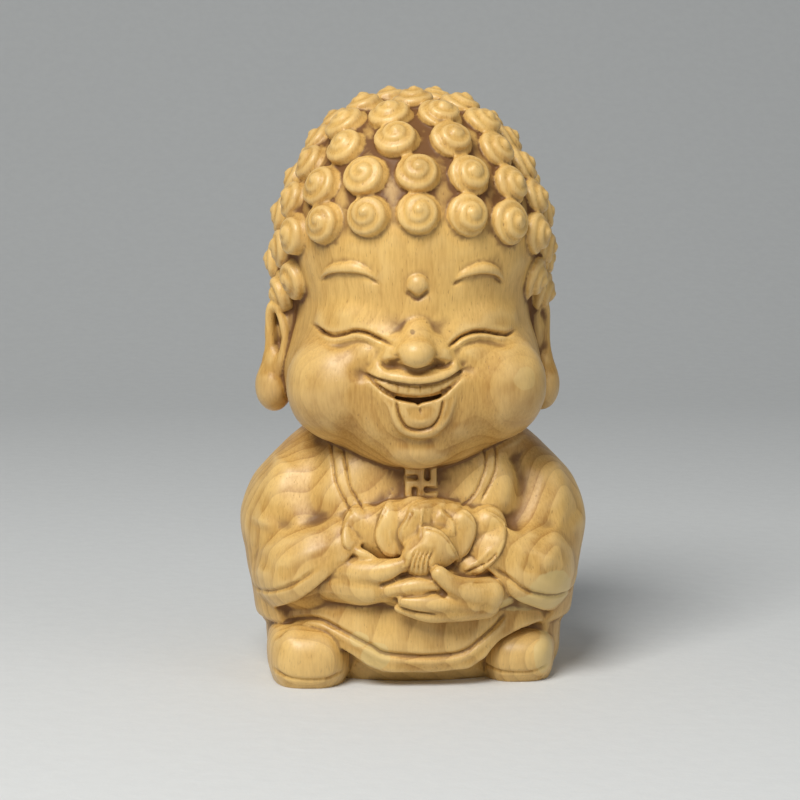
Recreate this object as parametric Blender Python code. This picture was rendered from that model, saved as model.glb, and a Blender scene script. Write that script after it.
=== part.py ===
"""A laughing buddha carving: one block of boxwood, about 96 mm tall, standing on its flat underside.

The figure faces -Y, +Z is up and the origin is the middle of the underside.
It is blocked out from closed forms, fused into one body, then carved with strokes.
"""

import math

import bmesh
import bpy
import numpy as np
from mathutils import Euler, Matrix, Vector
from mathutils.bvhtree import BVHTree

MM = 0.001

# Head: level sections as height, half width, front depth, back depth, in millimetres
HEAD_SECTIONS = (
    (34.6, 5.0, 13.0, 2.0),
    (35.6, 9.6, 16.6, 6.0),
    (37.8, 13.8, 20.0, 10.0),
    (41.0, 17.8, 22.4, 13.0),
    (44.5, 20.4, 23.6, 15.5),
    (48.5, 21.4, 24.0, 17.5),
    (52.5, 21.0, 23.6, 19.2),
    (56.5, 19.9, 22.4, 20.6),
    (60.0, 19.1, 21.3, 21.6),
    (64.0, 19.3, 21.0, 22.5),
    (69.0, 20.8, 21.1, 23.2),
    (74.0, 21.3, 20.9, 23.0),
    (80.0, 19.6, 19.2, 21.0),
    (85.0, 16.6, 16.4, 18.2),
    (89.0, 13.0, 12.8, 14.4),
    (92.0, 8.2, 8.1, 9.0),
    (93.1, 3.6, 3.6, 4.0),
)
HEAD_SQUARENESS = 2.1
NAPE_CENTRE = (0.0, 5.6, 64.0)
NAPE_RADII = (22.0, 17.2, 17.0)
SCALP_CENTRE = (0.0, 1.0, 69.0)

# How far the left and the right ear stand out past their usual place
EAR_OUT = (0.9, -0.6)

# Snail curls: size, then rings about a pole tipped back, as degrees above its level, curls in a full ring,
# share of a step the ring is turned by, and how far round from the forehead it starts
CURL_RADIUS = 4.0
CURL_RISE = 2.9
CURL_TIERS = ((1.0, 0.0, 0.5), (0.74, 0.3, 0.46), (0.4, 0.62, 0.38))
POLE_TIP = 19.0
CURL_RINGS = (
    (90.0, 1, 0.0, 0.0),
    (73.0, 6, 0.5, 0.0),
    (58.0, 10, 0.0, 0.0),
    (44.5, 14, 0.5, 0.0),
    (31.0, 15, -0.36, 0.0),
    (16.0, 17, 0.0, 0.0),
    (0.0, 18, 0.0, 0.0),
    (-16.0, 17, 0.5, 60.0),
    (-32.0, 15, 0.0, 112.0),
)

# Robe: level sections as the head's, for the lap, the sleeves over it, their lining and the base under it
BODY_SECTIONS = (
    (-1.2, 23.2, 13.8, 17.6),
    (0.6, 24.0, 15.6, 18.6),
    (2.4, 24.6, 19.4, 19.6),
    (5.0, 24.9, 20.3, 20.2),
    (9.0, 25.0, 20.4, 20.8),
    (14.0, 24.8, 19.6, 21.0),
    (20.0, 24.4, 18.0, 21.0),
    (26.0, 23.0, 16.8, 20.4),
    (31.0, 20.8, 16.4, 19.0),
    (36.0, 17.6, 15.6, 17.0),
    (40.0, 14.4, 13.0, 14.4),
    (44.0, 11.0, 10.0, 11.0),
)
SLEEVE_SECTIONS = (
    (9.2, 26.4, 18.2, 20.6),
    (10.2, 27.1, 19.2, 21.0),
    (15.0, 28.3, 20.3, 21.3),
    (20.0, 29.0, 20.1, 21.2),
    (26.0, 28.7, 18.4, 20.6),
    (32.0, 26.2, 17.0, 19.2),
    (37.0, 22.2, 15.4, 17.0),
    (40.5, 18.0, 13.2, 14.6),
    (44.0, 12.0, 10.0, 11.0),
)
LINING_SECTIONS = (
    (8.0, 25.2, 15.8, 20.2),
    (9.0, 25.8, 16.8, 20.6),
    (14.0, 26.6, 18.4, 20.8),
    (20.0, 26.6, 18.0, 20.8),
)
BASE_SECTIONS = ((-1.2, 18.4, 13.6, 18), (1.5, 19, 15.2, 18), (5, 19, 17.0, 18), (12, 19, 17.2, 18))
BODY_SQUARENESS = 2.4
SLEEVE_SQUARENESS = 2.5

# Robe edges, as across and height from the front
HEM_LOW = (
    (-17, 9.4), (-15.2, 7.9), (-10.5, 5.3), (-8.4, 3.8), (-5.9, 2.7),
    (1.4, 2.4), (8.4, 3.0), (11.1, 4.8), (12.0, 5.8),
)
HEM_BAND = (
    (-23.4, 7.6), (-21.5, 9.4), (-19.4, 10.6), (-16, 11.0), (-12.2, 9.4), (-7.8, 7.2), (-5.1, 5.9),
    (1.4, 5.4), (6.8, 5.9), (10, 7.8), (12.8, 10.2), (14.4, 12.0),
)
CUFFS = (
    (-30, 9.4), (-26.6, 10.3), (-22.6, 12.7), (-18.8, 15.0),
    (-15.3, 18.0), (-12.3, 20.8), (-10, 23.0), (-8.6, 24.4),
    (8.6, 22.0), (11.2, 19.8), (12.8, 18.2), (14.2, 15.9),
    (16.6, 14.0), (20.7, 12.0), (24.5, 10.5), (30, 9.6),
)
INNER_CUFFS = (
    (-30, 8.4), (-24.8, 8.7), (-18.8, 10.3), (-14.7, 12.7), (-11.8, 14.6), (-7, 17.5),
    (7, 15.8), (12, 13.6), (16, 11.6), (21, 9.8), (30, 8.6),
)
CUFF_RECESS = 12.6
INNER_RECESS = 9.0

# Feet: level sections
FOOT_LEFT = (
    (-1, 5.7, 10.2, 6), (0.6, 6.2, 11.4, 7), (2.4, 6.7, 12.4, 8), (5, 6.9, 12.7, 8),
    (7.4, 6.5, 12.0, 8), (9.2, 5.3, 10.2, 8), (10.3, 3.2, 7.2, 6), (10.6, 1.4, 4, 4),
)
FOOT_RIGHT = (
    (-1, 5.3, 8.6, 6), (0.6, 5.7, 9.6, 7), (2.4, 6.0, 10.8, 8), (5, 6.1, 11.3, 8),
    (7.2, 5.8, 10.8, 8), (8.9, 4.7, 9.2, 8), (9.8, 2.9, 6.4, 6), (10.1, 1.2, 3.6, 4),
)

# The traditional emblem on the chest, turning to the left: its middle, cell size, and bars as cells
EMBLEM_CENTRE = (0.55, 33.2)
EMBLEM_CELL = 1.0
EMBLEM_FRONT = 17.4
EMBLEM_BARS = (
    (-0.5, -2.5, 0.5, 2.5), (-2.5, -0.5, 2.5, 0.5), (-2.5, 1.5, 0, 2.5),
    (1.5, 0, 2.5, 2.5), (0, -2.5, 2.5, -1.5), (-2.5, -2.5, -1.5, 0),
)

# Face, as across and height from the front
BROWS = (
    ((-15.6, 65.5), (-13.4, 67.2), (-10.6, 67.7), (-8.3, 67.2), (-6.0, 65.5)),
    ((5.3, 65.4), (7.1, 66.7), (9.8, 67.5), (12.0, 67.0), (13.8, 65.4)),
)
SLITS = (
    (
        (-16.7, 58.5), (-15.2, 57.6), (-13.5, 57.2), (-11.8, 57.5),
        (-10.2, 58.0), (-8.4, 57.9), (-6.8, 57.3), (-4.0, 56.1),
    ),
    (
        (4.6, 55.7), (5.9, 56.7), (7.3, 57.5), (9.1, 57.9),
        (10.9, 57.8), (12.6, 57.4), (14.3, 57.2), (15.8, 57.5),
    ),
)
MOUTH_TOP = (
    (-8.7, 51.8), (-7.0, 51.1), (-5.0, 50.6), (-2.9, 50.2), (-0.2, 50.0),
    (2.5, 50.3), (4.4, 50.9), (5.8, 51.6), (7.1, 52.3),
)
MOUTH_LOW = (
    (6.4, 50.6), (4.4, 48.7), (3.9, 47.0), (3.3, 44.9), (2.0, 43.4), (-0.2, 42.7),
    (-2.3, 43.3), (-3.5, 44.9), (-4.1, 47.0), (-4.7, 48.3), (-6.2, 49.3), (-8.1, 50.9),
)
MOUTH_FLOOR = 20.8
TEETH = (
    (-8.0, 51.2), (-6.1, 49.7), (-4.5, 48.8), (-2.6, 48.2), (-0.2, 48.0),
    (1.9, 48.2), (4.2, 49.1), (6.4, 50.9),
)
LIP = (
    (-7.3, 50.1), (-5.7, 48.3), (-4.6, 46.4), (-3.6, 44.1), (-2.0, 42.7), (-0.3, 42.2),
    (1.3, 42.4), (2.9, 43.2), (4.3, 45.0), (5.1, 47.1), (5.8, 49.1), (6.8, 50.9),
)

# Petal edges, each with the height it stands over the petal behind it, on the left of its path
PETALS = (
    (
        0.55,
        ((-4.5, 31.2), (-7.4, 30.8), (-9.9, 29.9), (-11.3, 28.9), (-12, 26.5), (-11.9, 24.7), (-11.2, 23.8)),
    ),
    (
        0.75,
        ((-3.9, 31.6), (-5.1, 29.8), (-6.0, 27.4), (-6.0, 25.9), (-5.1, 24.1), (-3.3, 23.0), (-1.3, 22.7)),
    ),
    (
        0.6,
        ((9.5, 18.6), (11.9, 19.5), (14.0, 21.6), (15.4, 24.2), (15.6, 26.4), (14.3, 28.5), (11.9, 30.0)),
    ),
    (0.75, ((7.0, 21.4), (8.8, 22.5), (10.0, 24.9), (10.1, 26.7), (8.5, 28.5), (6.1, 30.0))),
    (0.6, ((6.7, 21.0), (6.9, 22.8), (5.5, 25.5), (3.8, 27.2), (1.1, 27.5))),
)

# Hands: each palm, thumb and finger as the points of its middle and its radius at each of them
HANDS = (
    (
        ((-18.0, -12.4, 16.2), (-13.2, -16.6, 17.4), (-8.6, -19.4, 17.1), (-5.4, -20.4, 16.8)),
        (3.4, 3.6, 3.3, 2.4),
    ),
    (
        ((-13.0, -17.6, 19.4), (-8.8, -20.8, 19.2), (-5.2, -22.2, 19.8), (-2.6, -22.8, 21.0)),
        (2.4, 2.1, 1.6, 1.15),
    ),
    (
        ((-6.8, -21.0, 16.6), (-3.8, -22.4, 17.4), (-0.8, -23.0, 18.1), (2.8, -23.0, 17.9)),
        (1.7, 1.45, 1.5, 1.3),
    ),
    (
        ((17.0, -12.6, 16.2), (12.6, -16.8, 15.8), (8.8, -20.0, 15.4), (5.2, -20.6, 15.4)),
        (3.2, 3.4, 3.2, 2.4),
    ),
    (
        ((11.4, -20.8, 15.6), (8.2, -22.6, 16.5), (5.6, -23.7, 18.1), (3.6, -24.2, 20.0)),
        (2.9, 2.4, 1.8, 1.35),
    ),
    (
        ((8.6, -21.8, 15.2), (4.0, -23.2, 15.5), (0.4, -23.7, 15.9), (-2.7, -23.2, 16.2)),
        (2.3, 1.75, 1.55, 1.15),
    ),
    (
        ((10.8, -20.4, 14.6), (6.4, -22.0, 13.9), (1.4, -22.9, 13.8), (-3.2, -22.4, 14.7)),
        (2.7, 2.1, 1.6, 1.0),
    ),
)

# Grain of the work
VOXEL = 0.4
TRIANGLES = 11600


class Clay:
    """Closed forms collected as points and faces, sized in millimetres, to be fused into one body."""

    def __init__(self):
        self.points = []
        self.corners = []
        self.sizes = []
        self.count = 0

    def put(self, points, corners, sizes):
        """Points, then the faces' corners one after another with each face's number of corners."""
        self.points.append(np.asarray(points, float).reshape(-1, 3))
        self.corners.append(np.asarray(corners).ravel() + self.count)
        self.sizes.append(np.asarray(sizes).ravel())
        self.count += len(self.points[-1])

    def add(self, mesh):
        """A finished mesh's faces among the forms."""
        self.put(*taken_apart(mesh))

    def ball(self, centre, radii, turn=(0.0, 0.0, 0.0)):
        """An egg shape with its own three radii, turned by Euler angles in degrees."""
        turned = Euler([math.radians(angle) for angle in turn])
        self.placed(BALL, Matrix.LocRotScale(Vector(centre), turned, Vector(radii)))

    def placed(self, form, matrix):
        """A form that was taken apart, moved and stretched by a matrix."""
        points, corners, sizes = form
        matrix = np.array(matrix)
        self.put(points @ matrix[:3, :3].T + matrix[:3, 3], corners, sizes)

    def limb(self, path, radii, around=14, steps=6):
        """A limb with round ends along a smooth path, with a radius at each of its points."""
        points = smooth_path(np.array(path, float), steps)
        sizes = smooth_path(np.array(radii, float)[:, None], steps)[:, 0]
        ahead = np.gradient(points, axis=0)
        ahead /= np.linalg.norm(ahead, axis=1)[:, None]
        swell = np.linspace(0.15, 1.0, 4)
        dome = np.sqrt(1 - (1 - swell) ** 2)
        first = points[0] - ahead[0] * sizes[0] * (1 - swell)[:, None]
        last = points[-1] + ahead[-1] * sizes[-1] * (1 - swell[::-1])[:, None]
        points = np.vstack([first[:-1], points, last[1:]])
        sizes = np.concatenate([dome[:-1] * sizes[0], sizes, dome[::-1][1:] * sizes[-1]])
        ahead = np.vstack([np.repeat(ahead[:1], 3, 0), ahead, np.repeat(ahead[-1:], 3, 0)])
        side = np.cross(ahead[0], (0.0, 0.0, 1.0) if abs(ahead[0][2]) < 0.9 else (1.0, 0.0, 0.0))
        angles = np.arange(around) * 2 * math.pi / around
        rings = []
        for point, size, way in zip(points, sizes, ahead):
            side = side - way * (side @ way)
            side /= np.linalg.norm(side)
            other = np.cross(way, side)
            spoke = np.cos(angles)[:, None] * side + np.sin(angles)[:, None] * other
            rings.append(point + size * spoke)
        self.skin(rings)

    def skin(self, rings):
        """Faces between one ring and the next, and a cap at each end."""
        around = len(rings[0])
        low = np.arange(around * (len(rings) - 1)).reshape(-1, around)
        after = np.roll(low, -1, axis=1)
        quads = np.stack([low, after, after + around, low + around], axis=2)
        last = np.arange(around) + around * (len(rings) - 1)
        corners = np.concatenate([quads.ravel(), np.arange(around)[::-1], last])
        self.put(np.vstack(rings), corners, [4] * low.size + [around] * 2)

    def loft(self, sections, squareness, centre=(0.0, 0.0), around=96, steps=5):
        """A body of level rings, each with a half width, a front depth and a back depth."""
        angles = np.arange(around) * 2 * math.pi / around
        side, depth = np.cos(angles), np.sin(angles)
        size = (abs(side) ** squareness + abs(depth) ** squareness) ** (-1 / squareness)
        rings = []
        for height, half_width, front, back in smooth_path(np.array(sections, float), steps):
            reach = np.where(depth > 0, back, front)
            across = centre[0] + side * size * half_width
            along = centre[1] + depth * size * reach
            rings.append(np.stack([across, along, np.full(around, height)], axis=1))
        self.skin(rings)

    def slab(self, outline, near, far):
        """An outline given as (across, height), drawn out from the depth near to the depth far."""
        self.skin([np.array([(x, y, z) for x, z in outline]) for y in (near, far)])

    def block(self):
        """The forms as an object, with their faces looking outward."""
        mesh = bpy.data.meshes.new("clay")
        corners, sizes = np.concatenate(self.corners), np.concatenate(self.sizes)
        mesh.vertices.add(self.count)
        mesh.vertices.foreach_set("co", np.vstack(self.points).ravel())
        mesh.loops.add(len(corners))
        mesh.loops.foreach_set("vertex_index", corners.astype(np.int32))
        mesh.polygons.add(len(sizes))
        mesh.polygons.foreach_set("loop_start", (np.cumsum(sizes) - sizes).astype(np.int32))
        mesh.update(calc_edges=True)
        if self.count < 20000:
            facing = bmesh.new()
            facing.from_mesh(mesh)
            bmesh.ops.recalc_face_normals(facing, faces=facing.faces)
            facing.to_mesh(mesh)
            facing.free()
        block = bpy.data.objects.new("clay", mesh)
        bpy.context.scene.collection.objects.link(block)
        return block

    def fused(self, voxel, passes):
        """The union of the forms as one closed mesh, softened by smoothing passes."""
        block = self.block()
        fuse = block.modifiers.new("fuse", "REMESH")
        fuse.mode = "VOXEL"
        fuse.voxel_size = voxel
        soften = block.modifiers.new("soften", "SMOOTH")
        soften.factor = 0.5
        soften.iterations = passes
        return settled(block)


def taken_apart(mesh):
    """A mesh's points, its faces' corners and their numbers of corners, as arrays."""
    points = np.empty(len(mesh.vertices) * 3)
    mesh.vertices.foreach_get("co", points)
    corners = np.empty(len(mesh.loops), np.int32)
    mesh.loops.foreach_get("vertex_index", corners)
    sizes = np.empty(len(mesh.polygons), np.int32)
    mesh.polygons.foreach_get("loop_total", sizes)
    return points.reshape(-1, 3), corners, sizes


def unit_ball():
    """A ball of radius 1, taken apart once for all the egg shapes."""
    mesh = bpy.data.meshes.new("ball")
    making = bmesh.new()
    bmesh.ops.create_icosphere(making, subdivisions=4, radius=1.0)
    making.to_mesh(mesh)
    making.free()
    return taken_apart(mesh)


BALL = unit_ball()


def settled(block):
    """The object's mesh with its modifiers applied; the object is removed."""
    graph = bpy.context.evaluated_depsgraph_get()
    made = bpy.data.meshes.new_from_object(block.evaluated_get(graph))
    bpy.data.objects.remove(block)
    return made


def cut(mesh, cutter):
    """The mesh with the cutter's forms taken away."""
    block = bpy.data.objects.new("block", mesh)
    bpy.context.scene.collection.objects.link(block)
    tool = cutter.block()
    taken = block.modifiers.new("cut", "BOOLEAN")
    taken.operation = "DIFFERENCE"
    taken.solver = "MANIFOLD"
    taken.object = tool
    made = settled(block)
    bpy.data.objects.remove(tool)
    return made


def smooth_path(points, steps):
    """Points along a smooth curve through the given ones, with this many steps between each two."""
    ends = np.vstack([2 * points[0] - points[1], points, 2 * points[-1] - points[-2]])
    found = []
    for before, start, stop, after in zip(ends, ends[1:], ends[2:], ends[3:]):
        for share in np.arange(steps) / steps:
            found.append(
                0.5
                * (
                    2 * start
                    + (stop - before) * share
                    + (2 * before - 5 * start + 4 * stop - after) * share**2
                    + (3 * start - before - 3 * stop + after) * share**3
                )
            )
    return np.array(found + [points[-1]])


class Surface:
    """A fused body's points, which strokes seen from the front move in or out."""

    def __init__(self, mesh):
        self.mesh = mesh
        self.points = np.empty(len(mesh.vertices) * 3)
        mesh.vertices.foreach_get("co", self.points)
        self.points = self.points.reshape(-1, 3)
        self.normals = np.empty(len(mesh.vertices) * 3)
        mesh.vertex_normals.foreach_get("vector", self.normals)
        self.normals = self.normals.reshape(-1, 3)
        self.tree = BVHTree.FromPolygons([v.co for v in mesh.vertices], [p.vertices for p in mesh.polygons])

    def front(self, across, height, out=0.0):
        """The point of the body met first from the front, moved out toward the viewer."""
        point, _, _, _ = self.tree.ray_cast(Vector((across, -60, height)), Vector((0, 1, 0)))
        return np.array((across, point.y - out, height))

    def laid(self, path, out=0.0):
        """The path's points brought onto the front of the body."""
        return [self.front(*place, out) for place in path]

    def nearest(self, path):
        """Each point's distance from the path, its side of it (left is positive) and its share along it."""
        path = smooth_path(np.array(path, float), 6)
        flat = self.points[:, (0, 2)]
        best = np.full(len(flat), 1e9)
        hand = np.ones(len(flat))
        along = np.zeros(len(flat))
        for step, (start, stop) in enumerate(zip(path, path[1:])):
            run = stop - start
            share = np.clip((flat - start) @ run / (run @ run), 0, 1)
            off = flat - start - share[:, None] * run
            far = np.hypot(off[:, 0], off[:, 1])
            closer = far < best
            best[closer] = far[closer]
            turn = run[0] * off[:, 1] - run[1] * off[:, 0]
            hand[closer] = np.sign(turn)[closer]
            along[closer] = ((step + share) / (len(path) - 1))[closer]
        return best, hand, along

    def facing(self, depths):
        """How far each point looks to the front, for points between two depths."""
        shown = np.clip(-self.normals[:, 1] * 2.5, 0, 1)
        return shown * (self.points[:, 1] > depths[0]) * (self.points[:, 1] < depths[1])

    def groove(self, path, width, depth, depths=(-60, 0), taper=0.12):
        """A rounded furrow along the path, or a ridge where the depth is negative."""
        far, _, along = self.nearest(path)
        ends = np.clip(np.minimum(along, 1 - along) / taper + 0.15, 0, 1) if taper else 1
        self.move(-depth * np.exp(-((far / width) ** 2)) * ends * self.facing(depths))

    def step(self, path, width, lift, reach, depths=(-60, 0)):
        """A raised edge on the left of the path, sloping back to nothing over the reach."""
        far, hand, along = self.nearest(path)
        ends = np.clip(np.minimum(along, 1 - along) / 0.1 + 0.1, 0, 1)
        signed = far * hand
        up = 0.5 + 0.5 * np.tanh(signed / width)
        self.move(lift * up * np.exp(-((far / reach) ** 2)) * ends * self.facing(depths))

    def press(self, centre, size, lift, depths=(-60, 0)):
        """A soft round swelling, or a dent where the lift is negative."""
        off = (self.points[:, (0, 2)] - centre) / size
        self.move(lift * np.exp(-(off**2).sum(axis=1)) * self.facing(depths))

    def move(self, amounts):
        """Each point moved out along its normal by its own amount."""
        self.points += self.normals * np.asarray(amounts)[:, None]

    def carved(self):
        """The mesh with its points where the strokes left them."""
        self.mesh.vertices.foreach_set("co", self.points.ravel())
        self.mesh.update()
        return self.mesh


def lap():
    """The trunk and lap, cut away under the hem down to the base."""
    clay = Clay()
    clay.loft(BODY_SECTIONS, BODY_SQUARENESS)
    below_hem = Clay()
    below_hem.slab([*HEM_LOW, (12, -5), (-17, -5)], -40, -4)
    hemmed = cut(settled(clay.block()), below_hem)
    clay = Clay()
    clay.add(hemmed)
    clay.loft(BASE_SECTIONS, 2.2)
    return clay.fused(VOXEL, 0)


def hung(sections, edge, recess, swell):
    """A layer of cloth over the shoulders and forearms, open in front below its edge."""
    clay = Clay()
    clay.loft(sections, SLEEVE_SQUARENESS)
    for side in (-1, 1):
        clay.limb(
            [(side * 20, -6.8, 16.5), (side * 16.4, -11.4, 18.6), (side * 11.4, -13.6, 21.6)],
            [9.2 + swell, 9.6 + swell, 7.6 + swell],
        )
    whole = clay.fused(VOXEL, 13)
    below_edge = Clay()
    below_edge.slab([*edge, (30, -5), (-30, -5)], -40, -recess)
    return cut(whole, below_edge)


def robe():
    """The three layers of cloth as one body, with its folds, collar lines and seams."""
    clay = Clay()
    clay.add(lap())
    clay.add(hung(LINING_SECTIONS, INNER_CUFFS, INNER_RECESS, -1.6))
    clay.add(hung(SLEEVE_SECTIONS, CUFFS, CUFF_RECESS, 0.0))
    surface = Surface(clay.fused(VOXEL, 1))
    surface.groove(HEM_BAND, 0.6, 0.55, (-60, -11))
    for side in (-1, 1):
        outer = [(side * 13.6, 40), (side * 13.3, 37), (side * 12.6, 34), (side * 10.4, 29)]
        inner = [(side * 11.6, 39), (side * 11.1, 36.5), (side * 10.4, 34), (side * 8.2, 29)]
        surface.groove(outer, 0.6, 0.5, (-60, -9))
        surface.groove(inner, 0.6, 0.6, (-60, -9))
    surface.groove([(-15.8, 41), (-16.8, 36), (-17.6, 31), (-15.6, 26.6)], 2.2, 1.5, (-60, -2))
    surface.groove([(-21.5, 36.5), (-23.5, 31), (-25.0, 25)], 2.0, -0.8)
    surface.groove([(16.6, 39), (18.0, 34), (17.2, 29.5), (14.6, 26.4)], 2.0, 2.0, (-60, -2))
    surface.press((18.4, 32.6), (2.6, 3.6), -0.8, (-60, -2))
    surface.groove([(21.8, 36), (23.8, 30), (22.6, 24), (19.0, 19.5)], 1.8, -0.7, (-60, -2))
    surface.groove([(28, 28.6), (24.6, 25.6), (20.6, 22.0), (16.4, 19.4)], 1.2, 0.8, (-60, -2))
    left_seam = [(-28.5, 13.9), (-25.4, 15.0), (-23.0, 15.9), (-20.1, 17.4), (-16.0, 20.4)]
    surface.groove(left_seam, 0.5, 0.45, (-60, -2))
    right_seam = [(11.6, 20.4), (15.0, 18.0), (17.6, 16.1), (20.5, 15.0), (24, 14.3), (28.5, 14.3)]
    surface.groove(right_seam, 0.5, 0.5, (-60, -2))
    surface.press((0, 33), (9, 5), -0.8, (-60, -8))
    return surface.carved()


def emblem():
    """The emblem's bars, standing a little proud of the chest."""
    clay = Clay()
    for left, low, right, high in EMBLEM_BARS:
        left, right = (EMBLEM_CENTRE[0] + side * EMBLEM_CELL for side in (left, right))
        low, high = (EMBLEM_CENTRE[1] + level * EMBLEM_CELL for level in (low, high))
        clay.slab([(left, low), (right, low), (right, high), (left, high)], -EMBLEM_FRONT, -12)
    return settled(clay.block())


def feet():
    """The two blunt toes of the feet that show under the hem."""
    clay = Clay()
    clay.loft(FOOT_LEFT, 2.4, (-17.7, -8.2))
    clay.loft(FOOT_RIGHT, 2.4, (16.5, -6.6))
    return clay.fused(VOXEL, 3)


def head():
    """The skull with cheeks, chin and nose, its eye slits cut and its mouth opened."""
    clay = Clay()
    clay.loft(HEAD_SECTIONS, HEAD_SQUARENESS)
    clay.ball(NAPE_CENTRE, NAPE_RADII)
    clay.ball((0, -18.2, 39.6), (6.4, 4.0, 3.8))
    clay.ball((-0.5, -19.2, 51.0), (8.0, 5.0, 3.8))
    clay.ball((-0.2, -19.4, 45.8), (8.0, 4.8, 6.0))
    for side in (-1, 1):
        clay.ball((side * 11.4, -12.6, 48.6), (9.8, 9.4, 9.4))
        lid = [(side * 15, -13.8, 59.2), (side * 10, -16.5, 60.0), (side * 5.6, -17.8, 58.9)]
        clay.limb(lid, [2.3, 3.4, 2.7])
    skull = clay.fused(VOXEL, 50)
    clay = Clay()
    clay.add(skull)
    clay.limb([(-0.2, -18.6, 61.6), (-0.2, -20.2, 58.4), (-0.3, -22.2, 56.1)], [2.2, 2.5, 3.0])
    clay.ball((-0.4, -23.2, 54.7), (3.3, 3.5, 2.75))
    for side in (-1, 1):
        clay.limb([(side * 3.7 - 0.4, -21.2, 54.2), (side * 1.2 - 0.4, -22.2, 54.6)], [2.15, 2.2])
    surface = Surface(clay.fused(VOXEL, 4))
    for side in (-1, 1):
        socket = [(15, 62.6), (10, 63.0), (6, 61.8), (3.9, 59.4), (3.0, 57.0)]
        surface.groove([(side * x, z) for x, z in socket], 1.7, 0.4)
        surface.groove([(side * 3.7, 60.4), (side * 4.0, 57.6)], 1.6, 0.35, taper=0.5)
    for slit in SLITS:
        surface.groove([(x, z - 1.6) for x, z in slit], 0.6, 0.3)
        surface.groove([(x, z - 0.9) for x, z in slit], 0.5, -0.3)
        surface.groove(slit, 0.45, 1.3, taper=0.2)
    surface.press((-8.9, 51.8), (1.2, 1.1), -0.9)
    surface.press((7.5, 52.4), (1.2, 1.1), -0.9)
    surface.groove([(-8.4, 50.0), (-7.2, 47.2), (-6.0, 44.2), (-3.8, 41.4)], 1.4, 0.3, taper=0.3)
    surface.groove([(7.2, 50.8), (6.7, 48), (5.6, 44.6), (3.6, 41.4)], 1.4, 0.3, taper=0.3)
    surface.groove([(-4.2, 41.3), (-0.2, 40.5), (3.6, 41.3)], 1.0, 0.4, taper=0.3)
    face = surface.carved()
    opening = Clay()
    opening.slab([*MOUTH_TOP, *MOUTH_LOW], -40, -MOUTH_FLOOR)
    return cut(face, opening)


def features(surface):
    """What stands proud of the face: brows, the dot between them, lips, teeth and tongue."""
    clay = Clay()
    for brow in BROWS:
        clay.limb(surface.laid(brow, -0.5), [0.3, 1.1, 1.35, 1.1, 0.3])
    clay.ball(surface.front(-0.2, 65.3, -0.8), (1.9, 1.9, 1.95))
    clay.limb(surface.laid(LIP, -0.42), [0.25, 0.45, 0.65] + [0.75] * 6 + [0.6, 0.45, 0.25])
    upper = [(-7.8, 52.1), (-4.4, 51.3), (-0.2, 51.0), (3.8, 51.6), (6.6, 52.6)]
    clay.limb(surface.laid(upper, -0.5), [0.3, 0.7, 0.85, 0.7, 0.3])
    teeth = [(x, surface.front(x, z)[1] + 1.75, z + 1.25) for x, z in TEETH]
    clay.limb(teeth, [0.8, 1.15, 1.25, 1.3, 1.35, 1.3, 1.15, 0.8])
    clay.ball((-0.2, -20.6, 45.2), (3.6, 2.6, 2.7), (20, 0, 0))
    clay.ball((-0.2, -19.2, 46.6), (3.7, 2.6, 2.0))
    return clay.fused(VOXEL * 0.7, 1)


def ears():
    """The long ears: a rim, a ridge before a narrow bowl, and a heavy lobe on each side."""
    clay = Clay()
    for side, out in ((-1, EAR_OUT[0]), (1, EAR_OUT[1])):
        clay.limb(
            [
                (side * (21.2 + out), -0.4, 60.2),
                (side * (22.3 + out), 0.6, 60.4),
                (side * (22.7 + out), 1.4, 58.2),
                (side * (22.7 + out), 1.8, 54.8),
                (side * (22.8 + out), 1.9, 51.6),
                (side * (23.1 + out), 2.2, 48.6),
            ],
            [0.75, 0.9, 0.9, 0.95, 1.3, 2.0],
        )
        clay.limb(
            [
                (side * (21.4 + out), -0.2, 60.0),
                (side * (20.6 + out), -0.8, 57.6),
                (side * (20.2 + out), -1.0, 55.0),
                (side * (20.6 + out), -0.4, 52.0),
                (side * (21.4 + out), 1.0, 49.2),
            ],
            [0.6, 0.7, 0.8, 1.0, 1.6],
        )
        clay.ball((side * (21.4 + out), 5.2, 55.6), (2.3, 3.0, 6.4))
        clay.ball((side * 19.6, 3.2, 55.6), (2.4, 4.6, 6.8))
        clay.ball((side * (22.3 + out), 3.0, 46.9), (3.1, 4.1, 4.3))
        clay.ball((side * (22.0 + out), 3.0, 50.2), (2.3, 3.4, 4.4))
    return clay.fused(VOXEL * 0.7, 3)


def curls(scalp):
    """Rings of snail curls about the tipped pole, each on a cone of three tiers."""
    clay = Clay()
    tip = Matrix.Rotation(math.radians(-POLE_TIP), 3, "X")
    for level, count, phase, start in CURL_RINGS:
        for step in range(round(count)):
            azimuth = ((step + phase) * 360.0 / count + 180.0) % 360.0 - 180.0
            if abs(azimuth) < start:
                continue
            up, round_ = math.radians(level), math.radians(azimuth)
            way = tip @ Vector((
                math.sin(round_) * math.cos(up),
                -math.cos(round_) * math.cos(up),
                math.sin(up),
            ))
            point, normal, _, _ = scalp.tree.ray_cast(Vector(SCALP_CENTRE) + way * 60, -way)
            curl(clay, point, (normal + way).normalized())
    return clay.fused(VOXEL * 0.7, 1)


def curl(clay, point, out):
    """A snail shell: a low cone of three rounded tiers."""
    turned = out.to_track_quat("Z", "Y").to_matrix().to_4x4()
    for share, low, thick in CURL_TIERS:
        reach = CURL_RADIUS * share
        at = Matrix.Translation(point + out * low * CURL_RISE)
        clay.placed(BALL, at @ turned @ Matrix.Diagonal((reach, reach, thick * CURL_RISE, 1)))


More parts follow.
